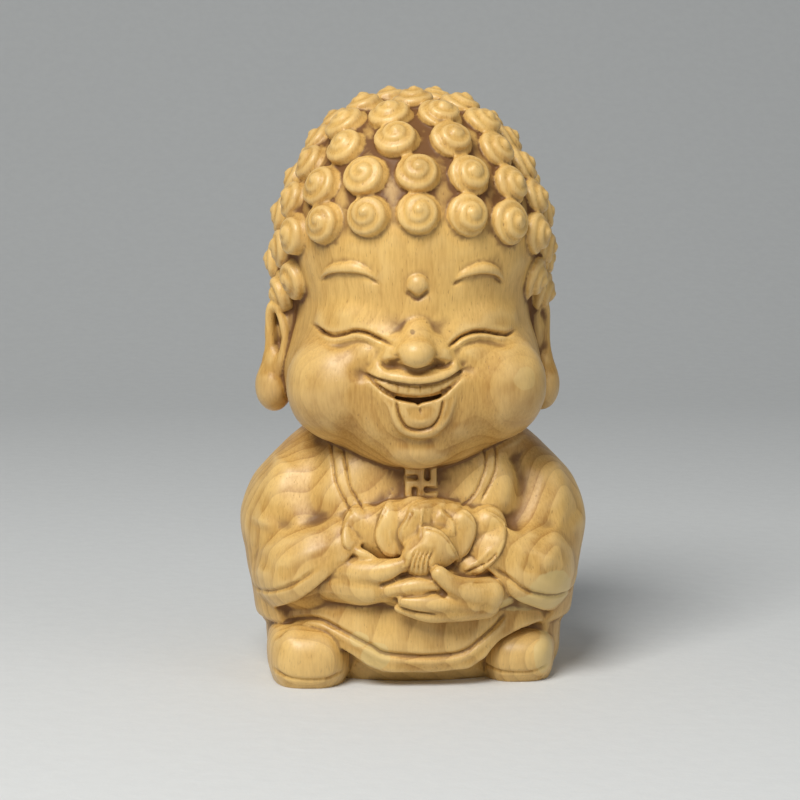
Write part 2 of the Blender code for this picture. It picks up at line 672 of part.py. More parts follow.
def lotus():
    """The open flower's rounded masses and one rolled petal edge, with each petal raised over the next."""
    clay = Clay()
    clay.ball((1.2, -15.4, 24.8), (13.8, 6.0, 7.4))
    clay.ball((-3.0, -18.0, 26.4), (4.4, 3.6, 5.4), (-8, 0, -10))
    clay.ball((6.0, -17.8, 25.8), (5.0, 3.8, 5.6), (-8, 0, 10))
    clay.ball((3.0, -20.0, 24.2), (4.4, 3.3, 4.0), (-16, 8, 0))
    clay.ball((1.6, -22.2, 22.8), (2.9, 2.5, 2.55), (-16, 0, 0))
    rolled = [(-11.2, -19.4, 24.0), (-9.8, -20.6, 22.9), (-8.2, -21.2, 22.3), (-6.0, -21.4, 21.5)]
    clay.limb(rolled, [0.6, 0.7, 0.7, 0.5])
    surface = Surface(clay.fused(VOXEL * 0.7, 3))
    for lift, edge in PETALS:
        surface.step(edge, 0.2, lift, 2.2)
    return surface.carved()


def hands():
    """Two hands laid one in the other: a ball between them, then each palm, thumb and finger."""
    clay = Clay()
    clay.ball((0, -18.6, 17.4), (9.4, 4.0, 4.4))
    for path, radii in HANDS:
        clay.limb(path, radii)
    return clay.fused(VOXEL * 0.7, 2)


def standing(mesh):
    """The figure thinned to its triangles, cut flat at the ground and turned into metres."""
    block = bpy.data.objects.new("whole", mesh)
    bpy.context.scene.collection.objects.link(block)
    thin = block.modifiers.new("thin", "DECIMATE")
    thin.ratio = min(1.0, TRIANGLES / (2 * len(mesh.polygons)))
    made = settled(block)
    cutting = bmesh.new()
    cutting.from_mesh(made)
    everything = cutting.verts[:] + cutting.edges[:] + cutting.faces[:]
    ground = {"plane_co": (0, 0, 0), "plane_no": (0, 0, 1)}
    bmesh.ops.bisect_plane(cutting, geom=everything, clear_inner=True, **ground)
    bmesh.ops.holes_fill(cutting, edges=[edge for edge in cutting.edges if edge.is_boundary])
    bmesh.ops.triangulate(cutting, faces=[face for face in cutting.faces if len(face.verts) > 3])
    bmesh.ops.scale(cutting, vec=(MM, MM, MM), verts=cutting.verts)
    cutting.to_mesh(made)
    cutting.free()
    return made


def main():
    """Fuse every form into the carving and give it its wood."""
    for thing in list(bpy.data.objects):
        bpy.data.objects.remove(thing)
    skull = Surface(head())
    clay = Clay()
    face = (skull.mesh, features(skull), ears(), curls(skull))
    for part in (robe(), emblem(), feet(), lotus(), hands(), *face):
        clay.add(part)
    carving = bpy.data.objects.new("carving", standing(clay.fused(VOXEL, 1)))
    bpy.context.scene.collection.objects.link(carving)
    wood = bpy.data.materials.new("boxwood")
    wood.use_nodes = True
    shader = wood.node_tree.nodes["Principled BSDF"]
    shader.inputs["Base Color"].default_value = (0.55, 0.36, 0.15, 1)
    shader.inputs["Roughness"].default_value = 0.42
    shader.inputs["Metallic"].default_value = 0.0
    carving.data.materials.append(wood)
    print(len(carving.data.polygons), "triangles")


main()
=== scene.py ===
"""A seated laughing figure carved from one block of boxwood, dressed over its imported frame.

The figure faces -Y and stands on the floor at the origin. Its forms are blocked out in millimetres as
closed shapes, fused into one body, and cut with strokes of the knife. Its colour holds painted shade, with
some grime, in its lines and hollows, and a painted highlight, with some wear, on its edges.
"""
import logging
import math
from collections.abc import Sequence
from dataclasses import dataclass, field, replace
from enum import Enum

import bmesh
import bpy
import numpy as np
from mathutils import Euler, Matrix, Vector, noise
from mathutils.bvhtree import BVHTree


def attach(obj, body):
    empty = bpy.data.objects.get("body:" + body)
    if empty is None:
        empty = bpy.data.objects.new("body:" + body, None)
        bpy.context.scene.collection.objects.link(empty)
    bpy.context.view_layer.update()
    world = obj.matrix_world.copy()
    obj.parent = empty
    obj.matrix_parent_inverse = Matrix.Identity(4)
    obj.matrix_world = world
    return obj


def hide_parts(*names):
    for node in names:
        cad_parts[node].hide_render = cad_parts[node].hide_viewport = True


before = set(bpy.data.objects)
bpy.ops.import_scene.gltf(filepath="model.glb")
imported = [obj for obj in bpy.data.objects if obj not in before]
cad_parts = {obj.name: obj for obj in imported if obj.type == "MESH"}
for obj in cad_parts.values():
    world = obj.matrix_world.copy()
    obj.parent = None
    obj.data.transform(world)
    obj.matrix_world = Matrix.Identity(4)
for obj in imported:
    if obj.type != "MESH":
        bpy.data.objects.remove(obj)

LOG = logging.getLogger("carving")
MM = 0.001
AROUND = 128
PITH = (-14.0, 22.0, 0.0)

Place = tuple[float, float]
Point = tuple[float, float, float]
Path = tuple[Place, ...]
Sections = tuple[tuple[float, float, float, float], ...]
Form = tuple[np.ndarray, np.ndarray, np.ndarray]


class Voxel(Enum):
    """How finely a form is fused, in millimetres."""

    FORM = 0.3
    FINE = 0.25


class View(Enum):
    """The side from which a stroke is drawn, as the sign of the depth that looks outward there."""

    FRONT = -1.0
    BACK = 1.0


@dataclass(frozen=True)
class Stroke:
    """A rounded furrow of the knife, or a ridge left standing where its depth is negative.

    The path holds places across and up, and the width is half the furrow's. Points nearer to the middle of
    the figure than `near` stay, and each end runs out over the share `taper` of the path's length.
    """

    path: Path
    width: float
    depth: float
    near: float = 0.0
    taper: float = 0.12
    view: View = View.FRONT

    def mirrored(self, side: int) -> "Stroke":
        """The same stroke on the side -1 or 1."""
        return replace(self, path=tuple((side * across, height) for across, height in self.path))


@dataclass(frozen=True)
class Dent:
    """A soft hollow about a place across and up, pressed in from the front."""

    centre: Place
    size: Place
    depth: float
    near: float = 0.0


def lowered(path: Path, drop: float) -> Path:
    """A path moved down by some height."""
    return tuple((across, height - drop) for across, height in path)


def smooth_path(points: np.ndarray, steps: int) -> np.ndarray:
    """Points along a smooth curve through the given ones.

    Args:
        points: the points to pass through, one a row.
        steps: how many steps are made between each two of them.

    Returns:
        The points of the curve, one a row.
    """
    ends = np.vstack([2 * points[0] - points[1], points, 2 * points[-1] - points[-2]])
    share = (np.arange(steps) / steps)[:, None]
    found = []
    for before, start, stop, after in zip(ends, ends[1:], ends[2:], ends[3:]):
        bend = 2 * before - 5 * start + 4 * stop - after
        twist = 3 * start - before - 3 * stop + after
        found.append(0.5 * (2 * start + (stop - before) * share + bend * share**2 + twist * share**3))
    return np.vstack([*found, points[-1:]])


def taken_apart(mesh: bpy.types.Mesh) -> Form:
    """A mesh as arrays.

    Args:
        mesh: the mesh to read.

    Returns:
        Its points, its faces' corners one after another, and each face's number of corners.
    """
    points = np.empty(len(mesh.vertices) * 3)
    mesh.vertices.foreach_get("co", points)
    corners = np.empty(len(mesh.loops), np.int32)
    mesh.loops.foreach_get("vertex_index", corners)
    sizes = np.empty(len(mesh.polygons), np.int32)
    mesh.polygons.foreach_get("loop_total", sizes)
    return points.reshape(-1, 3), corners, sizes


def unit_ball(cuts: int) -> Form:
    """A ball of radius 1.

    Args:
        cuts: how many times its faces are divided.

    Returns:
        The ball as arrays.
    """
    mesh = bpy.data.meshes.new("ball")
    making = bmesh.new()
    bmesh.ops.create_icosphere(making, subdivisions=cuts, radius=1.0)
    making.to_mesh(mesh)
    making.free()
    form = taken_apart(mesh)
    bpy.data.meshes.remove(mesh)
    return form


def settled(block: bpy.types.Object) -> bpy.types.Mesh:
    """An object's mesh with its modifiers applied.

    Args:
        block: the object, which is removed.

    Returns:
        The finished mesh.
    """
    graph = bpy.context.evaluated_depsgraph_get()
    made = bpy.data.meshes.new_from_object(block.evaluated_get(graph))
    old = block.data
    bpy.data.objects.remove(block)
    bpy.data.meshes.remove(old)
    return made


class Clay:
    """Closed forms collected as points and faces, in millimetres, to be fused into one body."""

    def __init__(self) -> None:
        """Start with nothing collected."""
        self.points: list[np.ndarray] = []
        self.corners: list[np.ndarray] = []
        self.sizes: list[np.ndarray] = []
        self.count = 0

    def put(self, form: Form) -> None:
        """Add a form given as arrays.

        Args:
            form: its points, its faces' corners and each face's number of corners.
        """
        points, corners, sizes = form
        self.points.append(np.asarray(points, float).reshape(-1, 3))
        self.corners.append(np.asarray(corners).ravel() + self.count)
        self.sizes.append(np.asarray(sizes).ravel())
        self.count += len(self.points[-1])

    def add(self, mesh: bpy.types.Mesh) -> None:
        """Add a finished mesh."""
        self.put(taken_apart(mesh))

    def placed(self, form: Form, matrix: Matrix) -> None:
        """Add a form moved by a matrix.

        Args:
            form: the form as arrays.
            matrix: where it goes, how it is turned and its size.
        """
        points, corners, sizes = form
        moved = np.array(matrix)
        self.put((points @ moved[:3, :3].T + moved[:3, 3], corners, sizes))

    def ball(self, centre: Point, radii: Point, turn: Point = (0.0, 0.0, 0.0)) -> None:
        """Add an egg shape.

        Args:
            centre: its middle.
            radii: its reach along its own three axes.
            turn: Euler angles in degrees.
        """
        turned = Euler([math.radians(angle) for angle in turn])
        self.placed(BALL, Matrix.LocRotScale(Vector(centre), turned, Vector(radii)))

    def limb(self, path: Sequence, radii: Sequence, around: int = 16, steps: int = 7) -> None:
        """Add a limb with round ends along a smooth path.

        Args:
            path: the points that its middle passes through.
            radii: its radius at each of them.
            around: how many corners each of its rings has.
            steps: how many rings lie between each two points.
        """
        points = smooth_path(np.array(path, float), steps)
        sizes = smooth_path(np.array(radii, float)[:, None], steps)[:, 0]
        ahead = np.gradient(points, axis=0)
        ahead /= np.linalg.norm(ahead, axis=1)[:, None]
        swell = np.linspace(0.15, 1.0, 4)
        dome = np.sqrt(1 - (1 - swell) ** 2)
        first = points[0] - ahead[0] * sizes[0] * (1 - swell)[:, None]
        last = points[-1] + ahead[-1] * sizes[-1] * (1 - swell[::-1])[:, None]
        points = np.vstack([first[:-1], points, last[1:]])
        sizes = np.concatenate([dome[:-1] * sizes[0], sizes, dome[::-1][1:] * sizes[-1]])
        ahead = np.vstack([np.repeat(ahead[:1], 3, 0), ahead, np.repeat(ahead[-1:], 3, 0)])
        side = np.cross(ahead[0], (0.0, 0.0, 1.0) if abs(ahead[0][2]) < 0.9 else (1.0, 0.0, 0.0))
        angles = np.arange(around) * 2 * math.pi / around
        rings = []
        for point, size, way in zip(points, sizes, ahead):
            side = side - way * (side @ way)
            side /= np.linalg.norm(side)
            other = np.cross(way, side)
            rings.append(point + size * (np.cos(angles)[:, None] * side + np.sin(angles)[:, None] * other))
        self.skin(rings)

    def skin(self, rings: list) -> None:
        """Add faces between one ring and the next, and a cap at each end.

        Args:
            rings: arrays of points, all of one length.
        """
        around = len(rings[0])
        low = np.arange(around * (len(rings) - 1)).reshape(-1, around)
        after = np.roll(low, -1, axis=1)
        quads = np.stack([low, after, after + around, low + around], axis=2)
        last = np.arange(around) + around * (len(rings) - 1)
        corners = np.concatenate([quads.ravel(), np.arange(around)[::-1], last])
        self.put((np.vstack(rings), corners, np.array([4] * low.size + [around] * 2)))

    def loft(self, sections: Sections, squareness: float, centre: Place = (0.0, 0.0)) -> None:
        """Add a body of level rings.

        Args:
            sections: rows of height, half width, depth to the front and depth to the back.
            squareness: 2 for an oval, more for a squarer outline.
            centre: where the rings' middle stands.
        """
        angles = np.arange(AROUND) * 2 * math.pi / AROUND
        side, depth = np.cos(angles), np.sin(angles)
        size = (abs(side) ** squareness + abs(depth) ** squareness) ** (-1 / squareness)
        rings = []
        for height, half_width, front, back in smooth_path(np.array(sections, float), 6):
            reach = np.where(depth > 0, back, front)
            across = centre[0] + side * size * half_width
            along = centre[1] + depth * size * reach
            rings.append(np.stack([across, along, np.full(AROUND, height)], axis=1))
        self.skin(rings)

    def slab(self, outline: Path, near: float, far: float) -> None:
        """Add an outline drawn out in depth.

        Args:
            outline: its corners as across and height.
            near: the depth where it starts.
            far: the depth where it ends.
        """
        self.skin([np.array([(x, y, z) for x, z in outline]) for y in (near, far)])

    def block(self) -> bpy.types.Object:
        """The forms as an object, its faces looking outward.

        Returns:
            The object, linked to the scene.
        """
        mesh = bpy.data.meshes.new("clay")
        corners, sizes = np.concatenate(self.corners), np.concatenate(self.sizes)
        mesh.vertices.add(self.count)
        mesh.vertices.foreach_set("co", np.vstack(self.points).ravel())
        mesh.loops.add(len(corners))
        mesh.loops.foreach_set("vertex_index", corners.astype(np.int32))
        mesh.polygons.add(len(sizes))
        mesh.polygons.foreach_set("loop_start", (np.cumsum(sizes) - sizes).astype(np.int32))
        mesh.update(calc_edges=True)
        if self.count < 30000:
            facing = bmesh.new()
            facing.from_mesh(mesh)
            bmesh.ops.recalc_face_normals(facing, faces=facing.faces)
            facing.to_mesh(mesh)
            facing.free()
        block = bpy.data.objects.new("clay", mesh)
        bpy.context.scene.collection.objects.link(block)
        return block

    def fused(self, voxel: Voxel, passes: int) -> bpy.types.Mesh:
        """The union of the forms.

        Args:
            voxel: how finely they are fused.
            passes: how often the result is smoothed.

        Returns:
            One closed mesh.
        """
        block = self.block()
        fuse = block.modifiers.new("fuse", "REMESH")
        fuse.mode = "VOXEL"
        fuse.voxel_size = voxel.value
        soften = block.modifiers.new("soften", "SMOOTH")
        soften.factor = 0.5
        soften.iterations = passes
        return settled(block)

    def cut_from(self, mesh: bpy.types.Mesh) -> bpy.types.Mesh:
        """A mesh with these forms taken away.

        Args:
            mesh: the mesh to cut.

        Returns:
            What is left of it.
        """
        block = bpy.data.objects.new("block", mesh)
        bpy.context.scene.collection.objects.link(block)
        tool = self.block()
        taken = block.modifiers.new("cut", "BOOLEAN")
        taken.operation = "DIFFERENCE"
        taken.solver = "MANIFOLD"
        taken.object = tool
        made = settled(block)
        bpy.data.objects.remove(tool)
        return made


BALL = unit_ball(4)


class Surface:
    """A fused body's points, which strokes of the knife move in or out."""

    def __init__(self, mesh: bpy.types.Mesh) -> None:
        """Read the mesh's points and the way each one faces.

        Args:
            mesh: the fused body.
        """
        self.mesh = mesh
        self.points = taken_apart(mesh)[0]
        normals = np.empty(len(mesh.vertices) * 3)
        mesh.vertex_normals.foreach_get("vector", normals)
        self.normals = normals.reshape(-1, 3)
        self.tree = BVHTree.FromPolygons([v.co for v in mesh.vertices], [p.vertices for p in mesh.polygons])

    def front(self, across: float, height: float, out: float = 0.0) -> Point:
        """The point first met from the front.

        Args:
            across: its place to the side.
            height: its height.
            out: how far it is moved out toward the viewer.

        Returns:
            The point.
        """
        point, _, _, _ = self.tree.ray_cast(Vector((across, -60, height)), Vector((0, 1, 0)))
        return (across, point.y - out, height)

    def laid(self, path: Path, out: float = 0.0) -> list:
        """A path of across and height laid on the surface from the front, moved out by some depth."""
        return [self.front(*place, out) for place in path]

    def shown(self, view: View, near: float, window: np.ndarray) -> np.ndarray:
        """How far points look toward the viewer.

        Args:
            view: the side they are seen from.
            near: the least distance out from the middle that counts.
            window: the points to measure.

        Returns:
            A share from 0 to 1 for each of them.
        """
        facing = np.clip(self.normals[window, 1] * view.value * 2.5, 0, 1)
        return facing * (self.points[window, 1] * view.value > near)

    def nearest(self, path: Path, reach: float) -> tuple:
        """The points near a path as seen from the front or the back.

        Args:
            path: places across and up.
            reach: how far from the path a point may lie.

        Returns:
            The points' numbers, their distances, their side (left is positive) and their share of its length.
        """
        line = smooth_path(np.array(path, float), 6)
        flat = self.points[:, (0, 2)]
        low, high = line.min(axis=0) - reach, line.max(axis=0) + reach
        window = np.flatnonzero(((flat > low) & (flat < high)).all(axis=1))
        flat = flat[window]
        best = np.full(len(flat), 1e9)
        hand = np.ones(len(flat))
        along = np.zeros(len(flat))
        for step, (start, stop) in enumerate(zip(line, line[1:])):
            run = stop - start
            share = np.clip((flat - start) @ run / (run @ run), 0, 1)
            off = flat - start - share[:, None] * run
            away = np.hypot(off[:, 0], off[:, 1])
            closer = away < best
            best[closer] = away[closer]
            hand[closer] = np.sign(run[0] * off[:, 1] - run[1] * off[:, 0])[closer]
            along[closer] = ((step + share) / (len(line) - 1))[closer]
        return window, best, hand, along

    def groove(self, stroke: Stroke) -> None:
        """Cut a furrow or raise a ridge along a stroke's path.

        Args:
            stroke: its path, width and depth.
        """
        window, off, _, along = self.nearest(stroke.path, stroke.width * 3)
        ends = np.clip(np.minimum(along, 1 - along) / stroke.taper + 0.12, 0, 1)
        shown = self.shown(stroke.view, stroke.near, window)
        self.move(window, -stroke.depth * np.exp(-((off / stroke.width) ** 2)) * ends * shown)

    def step(self, path: Path, width: float, lift: float, reach: float, near: float) -> None:
        """Raise an edge on the left of a path, sloping back to nothing.

        Args:
            path: places across and up.
            width: how sharp the edge is.
            lift: how high it stands.
            reach: how far the slope runs.
            near: points nearer to the middle than this stay.
        """
        window, off, hand, along = self.nearest(path, reach * 2.5)
        ends = np.clip(np.minimum(along, 1 - along) / 0.1 + 0.1, 0, 1)
        up = 0.5 + 0.5 * np.tanh(off * hand / width)
        shown = self.shown(View.FRONT, near, window)
        self.move(window, lift * up * np.exp(-((off / reach) ** 2)) * ends * shown)

    def press(self, dent: Dent) -> None:
        """Press a dent into the front.

        Args:
            dent: its place, size and depth.
        """
        off = (self.points[:, (0, 2)] - dent.centre) / dent.size
        window = np.flatnonzero((abs(off) < 2.6).all(axis=1))
        shown = self.shown(View.FRONT, dent.near, window)
        self.move(window, -dent.depth * np.exp(-(off[window] ** 2).sum(axis=1)) * shown)

    def work(self, marks: tuple) -> None:
        """Make strokes and dents in their order.

        Args:
            marks: the strokes and dents.
        """
        for mark in marks:
            if isinstance(mark, Dent):
                self.press(mark)
            else:
                self.groove(mark)

    def move(self, window: np.ndarray, amounts: np.ndarray) -> None:
        """Move points along their normals."""
        self.points[window] += self.normals[window] * amounts[:, None]

    def carved(self) -> bpy.types.Mesh:
        """The mesh with its points where the strokes have left them.

        Returns:
            The same mesh, changed.
        """
        self.mesh.vertices.foreach_set("co", self.points.ravel())
        self.mesh.update()
        return self.mesh


@dataclass
class Face:
    """The laughing face, as across and height from the front."""

    brows: tuple[Path, ...] = (
        ((-15.6, 65.5), (-13.4, 67.2), (-10.6, 67.7), (-8.3, 67.2), (-6.0, 65.5)),
        ((5.3, 65.4), (7.1, 66.7), (9.8, 67.5), (12.0, 67.0), (13.8, 65.4)),
    )
    slits: tuple[Path, ...] = (
        (
            (-16.7, 58.5), (-15.2, 57.6), (-13.5, 57.2), (-11.8, 57.5),
            (-10.2, 58.0), (-8.4, 57.9), (-6.8, 57.3), (-4.0, 56.1),
        ),
        (
            (4.6, 55.7), (5.9, 56.7), (7.3, 57.5), (9.1, 57.9),
            (10.9, 57.8), (12.6, 57.4), (14.3, 57.2), (15.8, 57.5),
        ),
    )
    mouth_top: Path = (
        (-8.7, 51.8), (-7.0, 51.1), (-5.0, 50.6), (-2.9, 50.2), (-0.2, 50.0),
        (2.5, 50.3), (4.4, 50.9), (5.8, 51.6), (7.1, 52.3),
    )
    mouth_low: Path = (
        (7.0, 51.3), (5.6, 49.9), (4.3, 48.4), (3.1, 47.6), (1.7, 47.2), (0.3, 46.9), (-0.2, 46.4),
        (-0.6, 46.9), (-1.5, 47.0), (-3.4, 47.4), (-4.8, 48.1), (-6.0, 48.9), (-8.1, 50.8),
    )
    tongue: Path = (
        (3.7, 47.6), (3.6, 46.4), (3.2, 44.8), (2.4, 43.6), (1.5, 43.0), (0.1, 42.7),
        (-1.2, 42.9), (-2.1, 43.3), (-2.9, 44.4), (-3.4, 45.8), (-3.7, 47.6),
    )
    teeth_low: Path = (
        (-8.0, 51.1), (-6.2, 49.5), (-4.3, 48.4), (-2.0, 47.95), (0.3, 47.9),
        (2.5, 48.25), (4.8, 49.4), (7.0, 51.3),
    )
    teeth_radii: tuple = (0.5, 1.0, 1.35, 1.35, 1.3, 1.35, 1.05, 0.5)
    teeth_behind: float = 0.35
    gaps: tuple[float, ...] = (-3.4, -1.7, 0.1, 1.9, 3.5)
    mouth_floor: float = -20.8
    lower_lip: Path = (
        (-7.4, 49.6), (-5.7, 47.9), (-4.6, 46.5), (-3.5, 44.1), (-2.4, 42.7), (-0.3, 42.1),
        (1.8, 42.3), (3.3, 43.4), (4.4, 45.0), (5.0, 46.6), (5.6, 48.2), (6.7, 50.4),
    )
    lower_lip_radii: tuple = (0.25, 0.5, 0.62, 0.7, 0.75, 0.8, 0.8, 0.75, 0.7, 0.62, 0.5, 0.25)
    upper_lip: Path = ((-7.8, 52.1), (-4.4, 51.3), (-0.2, 50.75), (3.8, 51.4), (6.6, 52.6))
    upper_lip_radii: tuple = (0.3, 0.75, 0.85, 0.75, 0.3)
    brow_radii: tuple = (0.3, 1.1, 1.35, 1.1, 0.3)
    socket: Stroke = Stroke(
        ((15, 62.6), (10, 63.0), (6, 61.8), (3.9, 59.4), (3.0, 57.0)), width=1.9, depth=0.25, taper=0.35
    )
    smile_creases: tuple = (
        Stroke(((-6.6, 55.4), (-7.4, 53.8), (-8.6, 52.6)), 0.9, 0.35),
        Stroke(((5.9, 55.6), (6.6, 54.0), (7.6, 52.9)), 0.9, 0.35),
        Dent((-8.9, 51.7), (1.5, 1.3), 1.0),
        Dent((7.5, 52.3), (1.5, 1.3), 1.0),
        Dent((0, 45.0), (3.0, 2.6), 0.35),
        Stroke(((-8.4, 50.0), (-7.2, 47.2), (-6.0, 44.2), (-3.8, 41.4)), 1.4, 0.3, taper=0.3),
        Stroke(((7.2, 50.8), (6.7, 48), (5.6, 44.6), (3.6, 41.4)), 1.4, 0.3, taper=0.3),
        Stroke(((-4.2, 41.3), (-0.2, 40.5), (3.6, 41.3)), 1.0, 0.4, taper=0.3),
    )
    nose_lines: tuple = (
        Stroke(((-2.1, 64.4), (-0.2, 63.2), (1.7, 64.4)), 0.4, 0.35, near=12),
        Dent((-4.4, 53.2), (1.3, 0.6), 0.8, near=18),
        Dent((3.4, 53.2), (1.3, 0.6), 0.8, near=18),
        Stroke(((-3.8, 54.9), (-3.3, 53.6)), 0.5, 0.25, near=16),
        Stroke(((3.0, 54.9), (2.5, 53.6)), 0.5, 0.25, near=16),
        Stroke(
            ((-6.4, 53.9), (-5.2, 52.7), (-2.9, 52.7), (-0.4, 52.0), (2.2, 52.7), (4.4, 52.8), (5.7, 54.0)),
            0.4, 0.6, near=16,
        ),
    )
    tongue_lines: tuple = (
        Dent((0.1, 46.2), (1.5, 0.9), 0.3, near=17),
        Stroke(((-1.7, 44.7), (0.2, 44.1), (2.0, 44.7)), 0.5, -0.25, near=17, taper=0.4),
        Stroke(((0.1, 46.4), (0.2, 45.2)), 0.22, 0.25, near=17, taper=0.4),
    )

    def forms(self) -> Clay:
        """What swells out of the head before it is cut: cheeks, muzzle, chin and lids.

        Returns:
            The forms, not yet fused.
        """
        clay = Clay()
        clay.ball((0, -18.2, 39.6), (6.4, 4.0, 3.8))
        clay.ball((-0.5, -19.2, 51.0), (8.0, 5.0, 3.8))
        clay.ball((-0.2, -19.4, 45.8), (8.0, 4.8, 6.0))
        for side in (-1, 1):
            clay.ball((side * 11.4, -12.6, 48.6), (9.8, 9.4, 9.4))
            clay.limb(
                [(side * 15.0, -12.9, 59.4), (side * 10, -15.9, 60.0), (side * 5.6, -17.6, 59.0)],
                [1.4, 2.8, 2.2],
            )
        return clay

    def nose(self, clay: Clay) -> None:
        """Add the bridge, its broad foot, the bulb and the two wings.

        Args:
            clay: what they are added to.
        """
        clay.limb([(-0.3, -18.2, 60.6), (-0.3, -19.5, 58.2), (-0.4, -21.4, 56.2)], [2.4, 2.9, 3.1])
        clay.ball((-0.4, -20.5, 55.8), (5.4, 3.2, 3.1))
        clay.ball((-0.5, -22.9, 54.8), (3.2, 3.4, 2.7))
        for side in (-1, 1):
            clay.limb([(side * 3.8 - 0.4, -21.4, 54.6), (side * 1.2 - 0.4, -22.2, 54.9)], [1.95, 2.1])

    def carve(self, surface: Surface) -> None:
        """Cut the sockets, lids and creases that go round the features.

        Args:
            surface: the head's surface, before the mouth is opened.
        """
        for side in (-1, 1):
            surface.groove(self.socket.mirrored(side))
        surface.work(self.smile_creases)

    def opened(self, mesh: bpy.types.Mesh) -> bpy.types.Mesh:
        """The head with the gap between the teeth and the tongue cut open.

        Args:
            mesh: the head.

        Returns:
            What is left of it.
        """
        opening = Clay()
        opening.slab([*self.mouth_top, *self.mouth_low], -40, self.mouth_floor)
        return opening.cut_from(mesh)

    def features(self, surface: Surface) -> bpy.types.Mesh:
        """What stands proud of the face.

        Args:
            surface: the head's surface, before the mouth is opened.

        Returns:
            Brows, the dot between them, lips, teeth and tongue in one mesh.
        """
        clay = Clay()
        for brow in self.brows:
            clay.limb(surface.laid(brow, -0.5), self.brow_radii)
        clay.ball(surface.front(-0.2, 65.3, -0.8), (1.9, 1.9, 1.95))
        clay.limb(surface.laid(self.lower_lip, -0.4), self.lower_lip_radii)
        clay.limb(surface.laid(self.upper_lip, -0.4), self.upper_lip_radii)
        teeth = []
        for (across, low), radius in zip(self.teeth_low, self.teeth_radii):
            middle = low + radius * 0.9
            depth = surface.front(across, middle)[1] + radius + self.teeth_behind
            teeth.append((across, depth, middle))
        clay.limb(teeth, self.teeth_radii)
        return clay.fused(Voxel.FINE, 1)

    def finish(self, surface: Surface) -> None:
        """Cut the fine lines once everything is one body.

        Args:
            surface: the whole figure's surface.
        """
        for slit in self.slits:
            surface.step(slit, width=0.35, lift=0.14, reach=1.6, near=10)
            surface.groove(Stroke(slit, 0.32, 1.0, near=10, taper=0.14))
            surface.groove(Stroke(lowered(slit[1:-1], 0.75), 0.4, -0.3, near=10))
            surface.groove(Stroke(lowered(slit[1:], 1.6), 0.6, 0.32, near=10, taper=0.3))
        for brow in self.brows:
            crown = brow[2][0]
            under = tuple((across, height - 1.0 + ((across - crown) / 5.2) ** 2) for across, height in brow)
            surface.groove(Stroke(under, 0.35, 0.4, near=12))
        surface.work(self.nose_lines)
        self.mouth_lines(surface)

    def mouth_lines(self, surface: Surface) -> None:
        """Cut the lines round the lip, the teeth and the tongue.

        Args:
            surface: the whole figure's surface.
        """
        surface.step(self.mouth_top, width=0.15, lift=0.3, reach=1.2, near=18)
        surface.groove(Stroke(lowered(self.mouth_top, 0.2), 0.26, 0.45, near=18, taper=0.05))
        surface.groove(Stroke(self.teeth_low, 0.25, 0.4, near=17))
        surface.step(self.tongue, width=0.2, lift=0.25, reach=1.2, near=17)
        surface.groove(Stroke(self.tongue, 0.24, 0.5, near=17, taper=0.05))
        surface.work(self.tongue_lines)
        for across in self.gaps:
            surface.groove(Stroke(((across, 49.9), (across * 1.02, 48.6)), 0.16, 0.16, near=18, taper=0.2))


@dataclass
class Ears:
    """Two long ears with a thin rim, a narrow hollow and a heavy lobe, given for the right-hand side."""

    out: Place = (0.9, -0.6)
    rim: tuple[Point, ...] = (
        (21.2, -0.4, 60.2), (22.3, 0.6, 60.4), (22.7, 1.4, 58.2),
        (22.7, 1.8, 54.8), (22.8, 1.9, 51.6), (23.1, 2.2, 48.6),
    )
    rim_radii: tuple = (0.75, 0.9, 0.9, 0.95, 1.3, 2.0)
    ridge: tuple[Point, ...] = (
        (21.4, -0.2, 60.0), (20.6, -0.8, 57.6), (20.2, -1.0, 55.0), (20.6, -0.4, 52.0), (21.4, 1.0, 49.2),
    )
    ridge_radii: tuple = (0.6, 0.7, 0.8, 1.0, 1.6)
    root: tuple[Point, Point] = ((19.6, 3.0, 56.4), (2.6, 4.6, 7.2))
    lobes: tuple[tuple[Point, Point], ...] = (
        ((21.4, 5.0, 55.8), (2.3, 3.0, 6.6)),
        ((22.3, 3.0, 46.9), (3.1, 4.1, 4.3)),
        ((22.0, 3.0, 50.2), (2.3, 3.4, 4.4)),
    )

    def made(self) -> bpy.types.Mesh:
        """Both ears in one mesh.

        Returns:
            The ears, fused.
        """
        clay = Clay()
        for side, out in zip((-1, 1), self.out):
            for path, radii in ((self.rim, self.rim_radii), (self.ridge, self.ridge_radii)):
                clay.limb([(side * (x + out), y, z) for x, y, z in path], radii)
            (across, depth, height), radii = self.root
            clay.ball((side * across, depth, height), radii)
            for (across, depth, height), radii in self.lobes:
                clay.ball((side * (across + out), depth, height), radii)
        return clay.fused(Voxel.FORM, 4)


